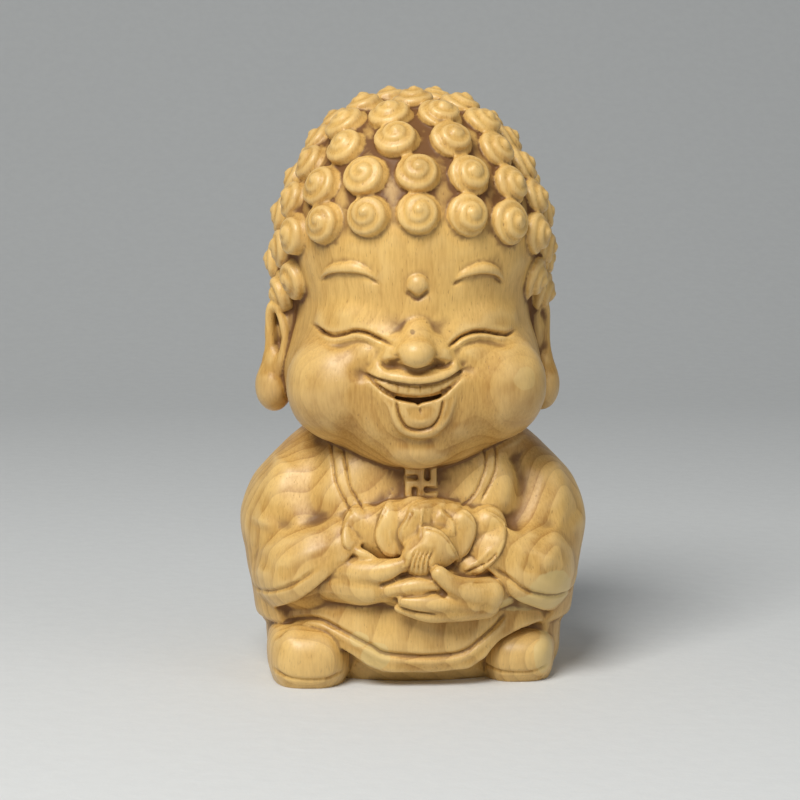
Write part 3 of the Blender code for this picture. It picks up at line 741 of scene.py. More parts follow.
@dataclass
class Head:
    """The great round head with its face and long ears."""

    sections: Sections = (
        (34.6, 5.0, 13.0, 2.0),
        (35.6, 9.6, 16.6, 6.0),
        (37.8, 13.8, 20.0, 10.0),
        (41.0, 17.8, 22.4, 13.0),
        (44.5, 20.4, 23.6, 15.5),
        (48.5, 21.4, 24.0, 17.5),
        (52.5, 21.0, 23.6, 19.2),
        (56.5, 19.9, 22.4, 20.6),
        (60.0, 19.1, 21.3, 21.6),
        (64.0, 19.3, 21.0, 22.5),
        (69.0, 20.8, 21.1, 23.2),
        (74.0, 21.0, 20.9, 23.0),
        (80.0, 18.9, 19.2, 21.0),
        (85.0, 15.9, 16.4, 18.2),
        (89.0, 13.0, 12.8, 14.4),
        (92.0, 8.2, 8.1, 9.0),
        (93.1, 3.6, 3.6, 4.0),
    )
    squareness: float = 2.1
    nape: tuple[Point, Point] = ((0.0, 5.6, 64.0), (22.0, 17.2, 17.0))
    temple: tuple[Point, Point] = ((-14.8, 3.0, 66.6), (7.4, 11.0, 8.0))
    face: Face = field(default_factory=Face)
    ears: Ears = field(default_factory=Ears)

    def skull(self) -> Surface:
        """The head's surface with everything but the mouth.

        Returns:
            The surface, before the mouth is opened.
        """
        clay = self.face.forms()
        clay.loft(self.sections, self.squareness)
        clay.ball(*self.nape)
        clay.ball(*self.temple)
        soft = clay.fused(Voxel.FORM, 90)
        clay = Clay()
        clay.add(soft)
        self.face.nose(clay)
        surface = Surface(clay.fused(Voxel.FORM, 11))
        self.face.carve(surface)
        return Surface(surface.carved())


@dataclass
class Hair:
    """Rings of snail curls about a pole that is tipped back."""

    radius: float = 4.0
    rise: float = 2.75
    turns: float = 2.3
    pole_tip: float = 19.0
    centre: Point = (0.0, 1.0, 69.0)
    rings: tuple = (
        (90.0, 1, 0.0, 0.0),
        (73.0, 6, 0.5, 0.0),
        (58.0, 10, 0.0, 0.0),
        (44.5, 14, 0.5, 0.0),
        (31.0, 15, -0.36, 0.0),
        (16.0, 17, 0.0, 0.0),
        (0.0, 18, 0.0, 0.0),
        (-16.0, 17, 0.5, 60.0),
        (-32.0, 15, 0.0, 112.0),
    )

    def grown(self, scalp: Surface) -> bpy.types.Mesh:
        """All the curls, set on the head.

        Args:
            scalp: the head's surface.

        Returns:
            The curls in one mesh.
        """
        clay = Clay()
        chance = np.random.default_rng(7)
        tip = Matrix.Rotation(math.radians(-self.pole_tip), 3, "X")
        for level, count, phase, start in self.rings:
            for step in range(count):
                azimuth = ((step + phase) * 360.0 / count + 180.0) % 360.0 - 180.0
                if abs(azimuth) < start:
                    continue
                up, turn = math.radians(level), math.radians(azimuth)
                level_way = (math.sin(turn) * math.cos(up), -math.cos(turn) * math.cos(up), math.sin(up))
                way = tip @ Vector(level_way)
                point, normal, _, _ = scalp.tree.ray_cast(Vector(self.centre) + way * 60, -way)
                size = 1.0 + chance.uniform(-0.05, 0.04)
                spin = chance.uniform(-0.4, 0.4)
                self.curl(clay, (point, (normal + way).normalized()), size, spin, azimuth)
        return clay.fused(Voxel.FINE, 1)

    def curl(self, clay: Clay, seat: tuple[Vector, Vector], size: float, spin: float, azimuth: float) -> None:
        """Add one snail shell: a low dome with a rope wound up it.

        Args:
            clay: what it is added to.
            seat: its foot's middle on the head, and the way it points.
            size: its size as a share of the usual one.
            spin: how far it is turned about its own axis.
            azimuth: where it sits round the head, in degrees from the forehead.
        """
        point, out = seat
        turned = out.to_track_quat("Z", "Y").to_matrix()
        reach = self.radius * size
        dome = Matrix.Translation(point) @ turned.to_4x4()
        clay.placed(BALL, dome @ Matrix.Diagonal((reach * 0.88, reach * 0.88, self.rise * 0.36, 1)))
        clay.placed(BALL, dome @ Matrix.Diagonal((reach * 0.6, reach * 0.6, self.rise * 0.7, 1)))
        share = np.linspace(0, 1, 40)
        way = 1.0 if azimuth < 8 else -1.0
        angle = way * (share * self.turns * 2 * math.pi + 1.9 + spin)
        wide = (reach - 0.85) * (1 - share) ** 0.92
        height = 0.25 + (self.rise - 0.75) * share**0.85
        path = np.stack([wide * np.cos(angle), wide * np.sin(angle), height], axis=1)
        path = path @ np.array(turned).T + np.array(point)
        sizes = 0.95 * (1 - share) + 0.72 * share
        sizes[:6] *= np.linspace(0.45, 1.0, 6)
        clay.limb(path, sizes, around=12, steps=1)


@dataclass
class Robe:
    """The seated body in its robe: a lap with a hem band, and two hanging sleeves with their lining."""

    body_sections: Sections = (
        (-1.2, 23.2, 13.8, 17.6),
        (0.6, 24.0, 15.6, 18.6),
        (2.4, 24.6, 19.4, 19.6),
        (5.0, 24.9, 20.3, 20.2),
        (9.0, 25.0, 20.4, 20.8),
        (14.0, 24.8, 19.6, 21.0),
        (20.0, 24.4, 18.0, 21.0),
        (26.0, 23.0, 16.8, 20.4),
        (31.0, 20.8, 16.4, 19.0),
        (36.0, 17.6, 15.6, 17.0),
        (40.0, 14.4, 13.0, 14.4),
        (44.0, 11.0, 10.0, 11.0),
    )
    sleeve_sections: Sections = (
        (9.2, 26.2, 18.2, 20.6),
        (10.0, 26.7, 19.2, 21.0),
        (15.0, 27.4, 20.3, 21.3),
        (20.0, 28.3, 20.1, 21.2),
        (26.0, 29.0, 18.4, 20.6),
        (32.0, 26.8, 17.0, 19.2),
        (37.0, 22.2, 15.4, 17.0),
        (40.5, 18.0, 13.2, 14.6),
        (44.0, 12.0, 10.0, 11.0),
    )
    lining_sections: Sections = (
        (8.0, 25.2, 15.8, 20.2), (9.0, 25.8, 16.8, 20.6), (14.0, 26.6, 18.4, 20.8), (20.0, 26.6, 18.0, 20.8),
    )
    base_sections: Sections = (
        (-1.2, 18.4, 13.6, 18.0), (1.5, 19.0, 15.2, 18.0), (5.0, 19.0, 17.0, 18.0), (12.0, 19.0, 17.2, 18.0),
    )
    sleeve_squareness: float = 2.5
    lap_squareness: float = 2.4
    base_squareness: float = 2.2
    hem_low: Path = (
        (-17, 9.4), (-15.2, 7.9), (-10.5, 5.3), (-8.4, 3.8), (-5.9, 2.7),
        (1.4, 2.4), (8.4, 3.0), (11.1, 4.8), (12.0, 5.8),
    )
    hem_right: Path = (
        (10.4, 3.9), (12.1, 6.3), (13.5, 7.6), (17.2, 9.1), (20.0, 9.5), (23.5, 9.2), (27, 8.6),
    )
    foot_recess: float = -12.4
    hem_band: Path = (
        (-23.4, 7.6), (-21.5, 9.4), (-19.4, 10.6), (-16, 11.0), (-12.2, 9.4), (-7.8, 7.2), (-5.1, 5.9),
        (1.4, 5.4), (6.8, 5.9), (10, 7.8), (12.8, 10.2), (14.4, 12.0),
    )
    cuffs: Path = (
        (-30, 9.4), (-26.6, 10.3), (-22.6, 12.7), (-18.8, 15.0),
        (-15.3, 18.0), (-12.3, 20.8), (-10, 23.0), (-8.6, 24.4),
        (8.6, 22.0), (11.2, 19.8), (12.8, 18.2), (14.2, 15.9),
        (16.6, 14.0), (20.7, 12.0), (24.5, 10.5), (30, 9.6),
    )
    inner_cuffs: Path = (
        (-30, 8.4), (-24.8, 8.7), (-18.8, 10.3), (-14.7, 12.7), (-11.8, 14.6), (-7, 17.5),
        (7, 15.8), (12, 13.6), (16, 11.6), (21, 9.8), (30, 8.6),
    )
    collar: tuple[Path, ...] = (
        ((-13.9, 39.1), (-13.6, 36.5), (-13.0, 33.2), (-10.4, 28.2)),
        ((-11.9, 38.4), (-11.4, 35.5), (-10.7, 32.6), (-8.4, 28.8)),
        ((12.8, 38.6), (12.9, 36.5), (12.4, 34.2), (10.2, 30.2)),
        ((10.9, 38.4), (11.1, 35.8), (9.3, 31.6), (6.4, 29.2)),
    )
    cuff_recess: float = -12.6
    inner_recess: float = -9.0
    forearm: tuple[Point, ...] = ((18.6, -6.8, 17.5), (16.2, -11.4, 18.8), (11.4, -13.6, 21.6))
    forearm_radii: tuple = (8.8, 9.4, 7.6)
    lining_shrink: float = 1.6
    folds: tuple = (
        Stroke(((-15.8, 41), (-16.8, 36), (-17.6, 31), (-15.6, 26.6)), 2.4, 1.1, near=2),
        Stroke(((-21.5, 36.5), (-23.5, 31), (-25.0, 25)), 2.0, -0.8),
        Stroke(((16.6, 39), (18.0, 34), (17.2, 29.5), (14.6, 26.4)), 2.0, 2.0, near=2),
        Dent((18.4, 32.6), (2.6, 3.6), 0.8, near=2),
        Stroke(((21.8, 36), (23.8, 30), (22.6, 24), (19.0, 19.5)), 1.8, -0.7, near=2),
        Stroke(((28, 28.6), (24.6, 25.6), (20.6, 22.0), (16.4, 19.4)), 1.4, 0.3, near=2),
        Dent((0, 33), (9, 5), 0.8, near=8),
    )
    seams: tuple[Stroke, ...] = (
        Stroke(((-28.5, 13.9), (-25.4, 15.0), (-23.0, 15.9), (-20.1, 17.4), (-16.0, 20.4)), 0.4, 0.4, near=2),
        Stroke(
            ((11.6, 20.4), (15.0, 18.0), (17.6, 16.1), (20.5, 15.0), (24, 14.3), (28.5, 14.3)),
            0.4, 0.5, near=2,
        ),
        Stroke(((-27.6, 21.6), (-23.6, 19.4), (-19.4, 19.6)), 1.3, 0.25, near=2, taper=0.35),
        Stroke(((-26.2, 31), (-22.8, 27.0), (-18.0, 25.0)), 1.5, 0.3, near=2, taper=0.35),
        Stroke(((26.0, 30.6), (22.4, 26.6), (18.6, 23.6)), 1.4, 0.3, near=2, taper=0.35),
        Stroke(((-23.6, 3.0), (-20.6, 1.9), (-15.4, 1.8), (-12.2, 2.6)), 0.3, 0.35, near=12),
        Stroke(((11.0, 2.6), (14.2, 1.9), (18.6, 1.9), (21.6, 2.8)), 0.3, 0.35, near=9),
    )
    back_folds: tuple[Path, ...] = (
        ((-3, 39), (-4.5, 28), (-3, 14), (-4, 4)),
        ((6, 38), (8.5, 26), (7, 13), (8, 4)),
        ((-13, 36), (-15, 24), (-12, 10)),
        ((15, 35), (17, 22), (14, 9)),
    )

    def hung(self, sections: Sections, lower: Path, recess: float, shrink: float) -> bpy.types.Mesh:
        """A layer of cloth that hangs from the shoulders and is open in front below its edge.

        Args:
            sections: its level rings.
            lower: its lower edge from the front.
            recess: the depth to which it is cut away under that edge.
            shrink: how much thinner than the sleeves' the forearms in it are.

        Returns:
            The layer.
        """
        clay = Clay()
        clay.loft(sections, self.sleeve_squareness)
        radii = [radius - shrink for radius in self.forearm_radii]
        for side in (-1, 1):
            clay.limb([(side * x, y, z) for x, y, z in self.forearm], radii)
        whole = clay.fused(Voxel.FORM, 24)
        under = Clay()
        under.slab([*lower, (30, -5), (-30, -5)], -40, recess)
        return under.cut_from(whole)

    def lap(self) -> bpy.types.Mesh:
        """The trunk and lap, cut away under the hem down to the base.

        Returns:
            The layer, fused with its base.
        """
        clay = Clay()
        clay.loft(self.body_sections, self.lap_squareness)
        under = Clay()
        under.slab([*self.hem_low, (12.0, -5), (-17, -5)], -40, -4)
        hemmed = under.cut_from(settled(clay.block()))
        beside = Clay()
        beside.slab([*self.hem_right, (27, -5), (10.4, -5)], -40, self.foot_recess)
        hemmed = beside.cut_from(hemmed)
        clay = Clay()
        clay.add(hemmed)
        clay.loft(self.base_sections, self.base_squareness)
        return clay.fused(Voxel.FORM, 0)

    def made(self) -> bpy.types.Mesh:
        """The whole robe with its broad folds.

        Returns:
            The robe in one mesh.
        """
        clay = Clay()
        clay.add(self.lap())
        clay.add(self.hung(self.lining_sections, self.inner_cuffs, self.inner_recess, self.lining_shrink))
        clay.add(self.hung(self.sleeve_sections, self.cuffs, self.cuff_recess, 0.0))
        surface = Surface(clay.fused(Voxel.FORM, 2))
        surface.work(self.folds)
        return surface.carved()

    def finish(self, surface: Surface) -> None:
        """Cut the seams, bands and fine folds once everything is one body.

        Args:
            surface: the whole figure's surface.
        """
        surface.groove(Stroke(self.hem_band, 0.42, 0.6, near=11, taper=0.05))
        surface.groove(Stroke(lowered(self.hem_band, 0.9), 0.7, -0.3, near=11, taper=0.05))
        for line in self.collar:
            surface.groove(Stroke(line, 0.24, 0.34, near=9, taper=0.08))
        surface.work(self.seams)
        for path in self.back_folds:
            surface.groove(Stroke(path, 1.7, 0.55, near=6, taper=0.3, view=View.BACK))


@dataclass
class Emblem:
    """The traditional sign on the chest, turning to the left, on its narrow strip."""

    centre: Place = (0.55, 33.2)
    cell: float = 1.0
    front: float = -16.9
    strip: float = -16.1
    strip_reach: tuple[float, float, float] = (2.6, 29.0, 38.0)
    root: float = -12.0
    bars: tuple[tuple[float, float, float, float], ...] = (
        (-0.5, -2.5, 0.5, 2.5), (-2.5, -0.5, 2.5, 0.5), (-2.5, 1.5, 0, 2.5),
        (1.5, 0, 2.5, 2.5), (0, -2.5, 2.5, -1.5), (-2.5, -2.5, -1.5, 0),
    )

    def made(self) -> bpy.types.Mesh:
        """The bars as one mesh, standing just proud of the chest.

        Returns:
            The bars and their strip.
        """
        clay = Clay()
        for left, low, right, high in self.bars:
            left, right = (self.centre[0] + side * self.cell for side in (left, right))
            low, high = (self.centre[1] + level * self.cell for level in (low, high))
            clay.slab(((left, low), (right, low), (right, high), (left, high)), self.front, self.root)
        half_width, low, high = self.strip_reach
        left, right = self.centre[0] - half_width * self.cell, self.centre[0] + half_width * self.cell
        clay.slab(((left, low), (right, low), (right, high), (left, high)), self.strip, self.root)
        return settled(clay.block())


@dataclass
class Lotus:
    """The open flower held over the hands: a bud, a front petal folded down, and two petals a side."""

    mounds: tuple[tuple[Point, Point, Point], ...] = (
        ((1.0, -15.4, 24.2), (13.6, 4.8, 6.9), (0, 0, 0)),
        ((0.4, -17.2, 25.4), (11.6, 4.2, 5.6), (0, 0, 0)),
        ((-8.6, -16.6, 25.4), (4.8, 3.2, 4.7), (0, 0, -12)),
        ((-4.2, -18.0, 26.0), (3.6, 3.1, 4.8), (-6, 0, -8)),
        ((-0.4, -18.6, 27.0), (4.2, 3.1, 4.5), (-12, 0, 0)),
        ((5.6, -18.2, 25.5), (4.0, 3.1, 4.9), (-6, -8, 8)),
        ((10.2, -16.8, 24.2), (4.4, 3.2, 5.7), (0, 22, 12)),
        ((1.9, -20.6, 23.5), (4.2, 3.2, 3.9), (-14, 0, 0)),
        ((0.1, -22.0, 21.9), (3.2, 2.4, 2.9), (-10, 0, 0)),
    )
    rolled: tuple[Point, ...] = (
        (-11.2, -19.6, 23.4), (-9.8, -20.4, 22.9), (-8.4, -20.9, 22.2), (-6.9, -21.2, 21.4),
    )
    rolled_radii: tuple = (0.6, 0.8, 0.8, 0.6)
    edges: tuple[tuple[float, Path], ...] = (
        (0.5, ((-10.2, 29.9), (-11.6, 28.0), (-12.3, 25.9), (-12.1, 24.0), (-10.9, 22.9))),
        (
            0.75,
            (
                (-4.7, 30.8), (-5.6, 29.3), (-6.5, 27.4), (-6.9, 25.6),
                (-6.5, 23.9), (-5.4, 22.5), (-4.2, 22.1), (-2.8, 22.2),
            ),
        ),
        (0.5, ((-1.2, 30.4), (-2.1, 28.4), (-3.2, 26.5), (-3.1, 24.8), (-2.3, 23.4))),
        (
            0.6,
            (
                (9.1, 18.6), (11.3, 20.3), (13.1, 22.3), (14.05, 24.4),
                (14.05, 26.5), (12.8, 28.0), (10.6, 29.2),
            ),
        ),
        (0.75, ((6.5, 20.8), (7.4, 22.0), (8.7, 24.0), (9.3, 26.4), (8.5, 28.2), (6.5, 29.7))),
        (0.35, ((5.8, 25.4), (5.9, 27.3), (4.9, 28.6), (3.4, 29.6))),
        (0.45, ((4.6, 30.6), (2.5, 30.9), (0.3, 30.7), (-1.4, 30.2))),
        (0.65, ((6.6, 20.8), (6.0, 22.5), (4.9, 24.6), (3.5, 26.2), (1.7, 26.9), (0.2, 27.0))),
    )
    veins: tuple[Stroke, ...] = (
        Stroke(((0.65, 30.2), (0.3, 27.6), (0.0, 25.0)), 0.2, -0.26, near=14),
        Stroke(((-0.9, 29.6), (-1.6, 28.0), (-2.4, 26.4)), 0.2, 0.16, near=14),
        Stroke(((2.3, 29.8), (2.0, 28.6), (2.2, 27.4)), 0.2, 0.14, near=14),
        Stroke(((-1.2, 23.8), (0.7, 24.4), (2.6, 24.0)), 0.7, -0.22, near=18, taper=0.4),
        Stroke(((11.7, 23.4), (9.6, 21.3), (7.3, 19.7)), 0.3, -0.25, near=12),
        Stroke(((12.8, 22.7), (10.9, 21.0), (7.4, 19.3)), 0.2, 0.35, near=12),
        Stroke(((-4.6, 26.6), (-4.5, 25.0), (-3.8, 23.4)), 0.3, -0.16, near=14),
    )
    flutes: int = 5
    ribs: tuple[float, ...] = (-10.4, -9.3, -8.2)

    def made(self) -> bpy.types.Mesh:
        """The flower's rounded masses and one rolled petal edge.

        Returns:
            The flower in one mesh.
        """
        clay = Clay()
        for centre, radii, turn in self.mounds:
            clay.ball(centre, radii, turn)
        soft = clay.fused(Voxel.FINE, 26)
        clay = Clay()
        clay.add(soft)
        clay.limb(self.rolled, self.rolled_radii)
        return clay.fused(Voxel.FINE, 1)

    def finish(self, surface: Surface) -> None:
        """Raise each petal's edge over the one behind it and cut its veins.

        Args:
            surface: the whole figure's surface.
        """
        for lift, edge in self.edges:
            surface.step(edge, width=0.14, lift=lift, reach=1.9, near=12)
            surface.groove(Stroke(edge, 0.2, 0.2, near=12))
        surface.work(self.veins)
        for step in range(self.flutes):
            high = -0.3 + step * 0.66
            low = -1.9 + step * 0.84
            path = ((high, 24.0), ((high + low) / 2 - 0.3, 22.0), (low, 19.5))
            surface.groove(Stroke(path, 0.2, 0.36, near=18, taper=0.3))
        for across in self.ribs:
            path = ((across, 28.6), (across - 0.5, 26.4), (across, 24.4))
            surface.groove(Stroke(path, 0.25, 0.07, near=13))


@dataclass
class Hands:
    """Two hands laid one in the other under the flower."""

    palms: tuple[tuple[Point, Point], ...] = (
        ((0, -18.6, 17.4), (9.4, 4.0, 4.4)),
        ((3.4, -20.8, 17.6), (3.4, 2.6, 2.6)),
        ((1.2, -20.8, 19.6), (3.0, 2.2, 1.8)),
        ((8.4, -18.4, 20.2), (3.8, 2.6, 2.4)),
    )
    fingers: tuple[tuple[tuple[Point, ...], tuple], ...] = (
        (
            ((-18, -12.4, 16.2), (-13.2, -16.6, 17.4), (-8.6, -19.4, 17.1), (-5.4, -20.4, 16.8)),
            (3.4, 3.6, 3.3, 2.4),
        ),
        (
            ((-13.0, -17.6, 19.4), (-8.8, -20.4, 19.4), (-5.2, -21.9, 20.0), (-2.6, -22.5, 21.0)),
            (2.8, 2.5, 1.95, 1.3),
        ),
        (
            ((-6.8, -21.0, 16.4), (-3.8, -22.4, 17.1), (-0.8, -23.0, 17.7), (2.6, -23.0, 17.7)),
            (1.5, 1.35, 1.3, 1.1),
        ),
        (
            ((17.0, -12.6, 16.2), (12.6, -16.8, 15.8), (8.8, -20.0, 15.2), (5.2, -20.6, 15.0)),
            (3.2, 3.4, 3.2, 2.4),
        ),
        (
            ((11.0, -20.6, 15.6), (7.6, -22.5, 16.6), (4.8, -23.6, 18.2), (3.0, -24.1, 19.9)),
            (2.9, 2.3, 1.6, 1.25),
        ),
        (
            ((8.6, -21.8, 14.6), (4.0, -23.2, 14.8), (0.4, -23.6, 15.0), (-2.5, -23.2, 15.3)),
            (2.2, 1.65, 1.4, 1.1),
        ),
        (
            ((10.8, -20.4, 14.2), (6.4, -22.0, 13.4), (1.4, -22.7, 12.9), (-3.4, -22.2, 13.9)),
            (2.6, 1.9, 1.3, 0.75),
        ),
    )
    lines: tuple[Stroke, ...] = (
        Stroke(((-6.4, 17.6), (-4.2, 18.5), (-2.2, 19.7)), 0.26, 0.4, near=18),
        Stroke(((-3.9, 16.1), (0.0, 16.3), (2.6, 16.7), (4.2, 16.0)), 0.22, 0.35, near=18),
        Stroke(((2.2, 18.6), (3.0, 17.6), (4.4, 16.2)), 0.22, 0.3, near=18),
        Stroke(((-3.8, 14.3), (-1.6, 13.7), (0.4, 13.4), (2.8, 13.2)), 0.2, 0.35, near=18, taper=0.2),
    )

    def made(self) -> bpy.types.Mesh:
        """Palms, fingers and thumbs fused.

        Returns:
            Both hands in one mesh.
        """
        clay = Clay()
        for centre, radii in self.palms:
            clay.ball(centre, radii)
        for path, radii in self.fingers:
            clay.limb(path, radii)
        return clay.fused(Voxel.FINE, 3)

    def finish(self, surface: Surface) -> None:
        """Cut the lines between the fingers.

        Args:
            surface: the whole figure's surface.
        """
        surface.work(self.lines)


@dataclass
class Feet:
    """Two blunt feet under the hem."""

    left: Sections = (
        (-1, 5.8, 10.4, 6), (0.6, 6.3, 11.6, 7), (2.3, 6.8, 12.6, 8), (4.7, 7.0, 12.8, 8),
        (7.0, 6.8, 12.2, 8), (8.6, 6.0, 10.9, 8), (9.6, 4.2, 8.2, 6), (10.0, 1.8, 4, 4),
    )
    right: Sections = (
        (-1, 5.5, 8.6, 6), (0.6, 5.9, 9.8, 7), (2.2, 6.2, 11.0, 8), (4.3, 6.3, 11.4, 8),
        (6.1, 6.1, 10.9, 8), (7.4, 5.3, 9.6, 8), (8.2, 3.7, 7.2, 6), (8.6, 1.6, 3.6, 4),
    )
    left_centre: Place = (-17.7, -8.2)
    right_centre: Place = (16.9, -6.6)
    squareness: float = 2.7

    def made(self) -> bpy.types.Mesh:
        """Both feet in one mesh.

        Returns:
            The feet, fused.
        """
        clay = Clay()
        clay.loft(self.left, self.squareness, self.left_centre)
        clay.loft(self.right, self.squareness, self.right_centre)
        return clay.fused(Voxel.FORM, 5)


class Nodes:
    """A shader's node tree while it is being built."""

    def __init__(self, tree: bpy.types.NodeTree) -> None:
        """Take hold of the tree."""
        self.tree = tree

    def add(self, kind: str, **settings: object) -> bpy.types.Node:
        """Add a node.

        Args:
            kind: its type.
            settings: its properties by name.

        Returns:
            The node.
        """
        node = self.tree.nodes.new(kind)
        for name, value in settings.items():
            setattr(node, name, value)
        return node

    def feed(self, socket: bpy.types.NodeSocket, value: object) -> None:
        """Link a socket to another, or set it to a plain value.

        Args:
            socket: the input to feed.
            value: a socket or a plain value.
        """
        if isinstance(value, bpy.types.NodeSocket):
            self.tree.links.new(value, socket)
        else:
            socket.default_value = value

    def group(self, tree: bpy.types.NodeTree, inputs: dict) -> bpy.types.NodeOutputs:
        """Add a node group.

        Args:
            tree: the group's own tree.
            inputs: what is fed to it, by name.

        Returns:
            The node's outputs.
        """
        node = self.add("ShaderNodeGroup", node_tree=tree)
        for name, value in inputs.items():
            self.feed(node.inputs[name], value)
        return node.outputs

    def math(self, operation: str, *values: object, clamp: bool = False) -> bpy.types.NodeSocket:
        """Work out a value.

        Args:
            operation: the sum to do.
            values: sockets or numbers.
            clamp: whether the result is kept between 0 and 1.

        Returns:
            The result.
        """
        node = self.add("ShaderNodeMath", operation=operation, use_clamp=clamp)
        for socket, value in zip(node.inputs, values):
            self.feed(socket, value)
        return node.outputs[0]

    def vector(self, operation: str, *values: object) -> bpy.types.NodeSocket:
        """Work out a vector.

        Args:
            operation: the sum to do.
            values: sockets or vectors.

        Returns:
            The result, which is a plain value for a length.
        """
        node = self.add("ShaderNodeVectorMath", operation=operation)
        for socket, value in zip(node.inputs, values):
            self.feed(socket, value)
        return node.outputs["Value" if operation == "LENGTH" else "Vector"]

    def spread(
        self, value: object, low: float, high: float, start: float = 0.0, stop: float = 1.0
    ) -> bpy.types.NodeSocket:
        """Map a value smoothly from one range to another.

        Args:
            value: the value.
            low: where the range starts.
            high: where it ends.
            start: the result at its start.
            stop: the result at its end.

        Returns:
            The result.
        """
        node = self.add("ShaderNodeMapRange", interpolation_type="SMOOTHSTEP")
        given = {"Value": value, "From Min": low, "From Max": high, "To Min": start, "To Max": stop}
        for name, wanted in given.items():
            self.feed(node.inputs[name], wanted)
        return node.outputs["Result"]

    def mixed(self, share: object, first: object, second: object) -> bpy.types.NodeSocket:
        """Mix two colours.

        Args:
            share: how much of the second.
            first: a socket or a colour.
            second: a socket or a colour.

        Returns:
            The colour.
        """
        node = self.add("ShaderNodeMix", data_type="RGBA")
        self.feed(node.inputs["Factor"], share)
        self.feed(node.inputs["A"], first)
        self.feed(node.inputs["B"], second)
        return node.outputs["Result"]

    def place(self) -> bpy.types.NodeSocket:
        """The point's place on the object, in millimetres.

        Returns:
            The place as a vector.
        """
        scale = 1 / MM
        own = self.add("ShaderNodeTexCoord").outputs["Object"]
        return self.vector("MULTIPLY", own, (scale, scale, scale))

    def height(self, place: bpy.types.NodeSocket) -> bpy.types.NodeSocket:
        """A point's height.

        Args:
            place: the point in millimetres.

        Returns:
            Its height in millimetres.
        """
        node = self.add("ShaderNodeSeparateXYZ")
        self.feed(node.inputs["Vector"], place)
        return node.outputs["Z"]

    def noise(self, place: bpy.types.NodeSocket, stretch: Point, detail: float = 2.0) -> bpy.types.NodeSocket:
        """Cloudy noise about 0.5.

        Args:
            place: where it is read, in millimetres.
            stretch: how many waves a millimetre it has along each axis.
            detail: how many finer layers it has.

        Returns:
            The value.
        """
        node = self.add("ShaderNodeTexNoise", noise_dimensions="3D")
        self.feed(node.inputs["Vector"], self.vector("MULTIPLY", place, stretch))
        self.feed(node.inputs["Scale"], 1.0)
        self.feed(node.inputs["Detail"], detail)
        return node.outputs["Fac"]

    def waver(self, place: bpy.types.NodeSocket, stretch: Point, size: float) -> bpy.types.NodeSocket:
        """Cloudy noise about 0.

        Args:
            place: where it is read, in millimetres.
            stretch: how many waves a millimetre it has along each axis.
            size: how far apart its two ends are.

        Returns:
            The value.
        """
        return self.math("MULTIPLY", self.math("SUBTRACT", self.noise(place, stretch), 0.5), size)

    def bump(self, height: bpy.types.NodeSocket, strength: float, distance: float) -> bpy.types.NodeSocket:
        """A normal bent by fine relief.

        Args:
            height: the relief.
            strength: how strongly it shows.
            distance: how high it is, in metres.

        Returns:
            The normal.
        """
        node = self.add("ShaderNodeBump")
        self.feed(node.inputs["Height"], height)
        self.feed(node.inputs["Strength"], strength)
        self.feed(node.inputs["Distance"], distance)
        return node.outputs["Normal"]


def shaded(name: str) -> tuple[bpy.types.Material, Nodes, bpy.types.NodeInputs]:
    """A new material, its builder and its shader's inputs.

    Args:
        name: the material's name.

    Returns:
        The three, in this order.
    """
    made = bpy.data.materials.new(name)
    made.use_nodes = True
    return made, Nodes(made.node_tree), made.node_tree.nodes["Principled BSDF"].inputs


def sockets(tree: bpy.types.NodeTree, inward: dict, outward: tuple) -> tuple[Nodes, dict, dict]:
    """Give a node group its inputs and outputs.

    Args:
        tree: the group.
        inward: its inputs' names, each with its socket type.
        outward: its outputs' names, all plain values.

    Returns:
        The group's builder, its inputs and its outputs by name.
    """
    for name, kind in inward.items():
        tree.interface.new_socket(name, in_out="INPUT", socket_type=kind)
    for name in outward:
        tree.interface.new_socket(name, in_out="OUTPUT", socket_type="NodeSocketFloat")
    nodes = Nodes(tree)
    entry = nodes.add("NodeGroupInput")
    leave = nodes.add("NodeGroupOutput")
    return nodes, entry.outputs, leave.inputs


def growth_rings() -> bpy.types.NodeTree:
    """Rings about a pith behind the figure's right shoulder, wavering as a branch grows.

    Returns:
        The group's tree.
    """
    tree = bpy.data.node_groups.new("Growth rings", "ShaderNodeTree")
    given = {"Place": "NodeSocketVector", "Spacing": "NodeSocketFloat"}
    nodes, entry, leave = sockets(tree, given, ("Late wood",))
    waver = nodes.add("ShaderNodeCombineXYZ")
    nodes.feed(waver.inputs["X"], nodes.waver(entry["Place"], (0.035, 0.035, 0.02), 8.0))
    nodes.feed(waver.inputs["Y"], nodes.waver(entry["Place"], (0.05, 0.03, 0.028), 6.5))
    placed = nodes.vector("ADD", nodes.vector("SUBTRACT", entry["Place"], PITH), waver.outputs["Vector"])
    distance = nodes.vector("LENGTH", nodes.vector("MULTIPLY", placed, (1.0, 1.0, 0.04)))
    uneven = nodes.math("MULTIPLY", nodes.noise(entry["Place"], (0.02, 0.02, 0.008)), 1.4)
    turns = nodes.math("ADD", nodes.math("DIVIDE", distance, entry["Spacing"]), uneven)
    turn = nodes.math("FRACT", turns)
    late = nodes.math("MULTIPLY", nodes.math("POWER", turn, 2.6), nodes.spread(turn, 1.0, 0.93))
    nodes.feed(leave["Late wood"], late)
    return tree


def fibre() -> bpy.types.NodeTree:
    """Fine upright fibres, and the short dark pores between them.

    Returns:
        The group's tree.
    """
    tree = bpy.data.node_groups.new("Fibre", "ShaderNodeTree")
    nodes, entry, leave = sockets(tree, {"Place": "NodeSocketVector"}, ("Streak", "Pore", "Cloud"))
    nodes.feed(leave["Streak"], nodes.noise(entry["Place"], (3.0, 3.0, 0.4), 5.0))
    pores = nodes.noise(entry["Place"], (4.4, 4.4, 0.7), 1.0)
    nodes.feed(leave["Pore"], nodes.spread(pores, 0.66, 0.76))
    nodes.feed(leave["Cloud"], nodes.noise(entry["Place"], (0.09, 0.09, 0.05), 3.0))
    return tree


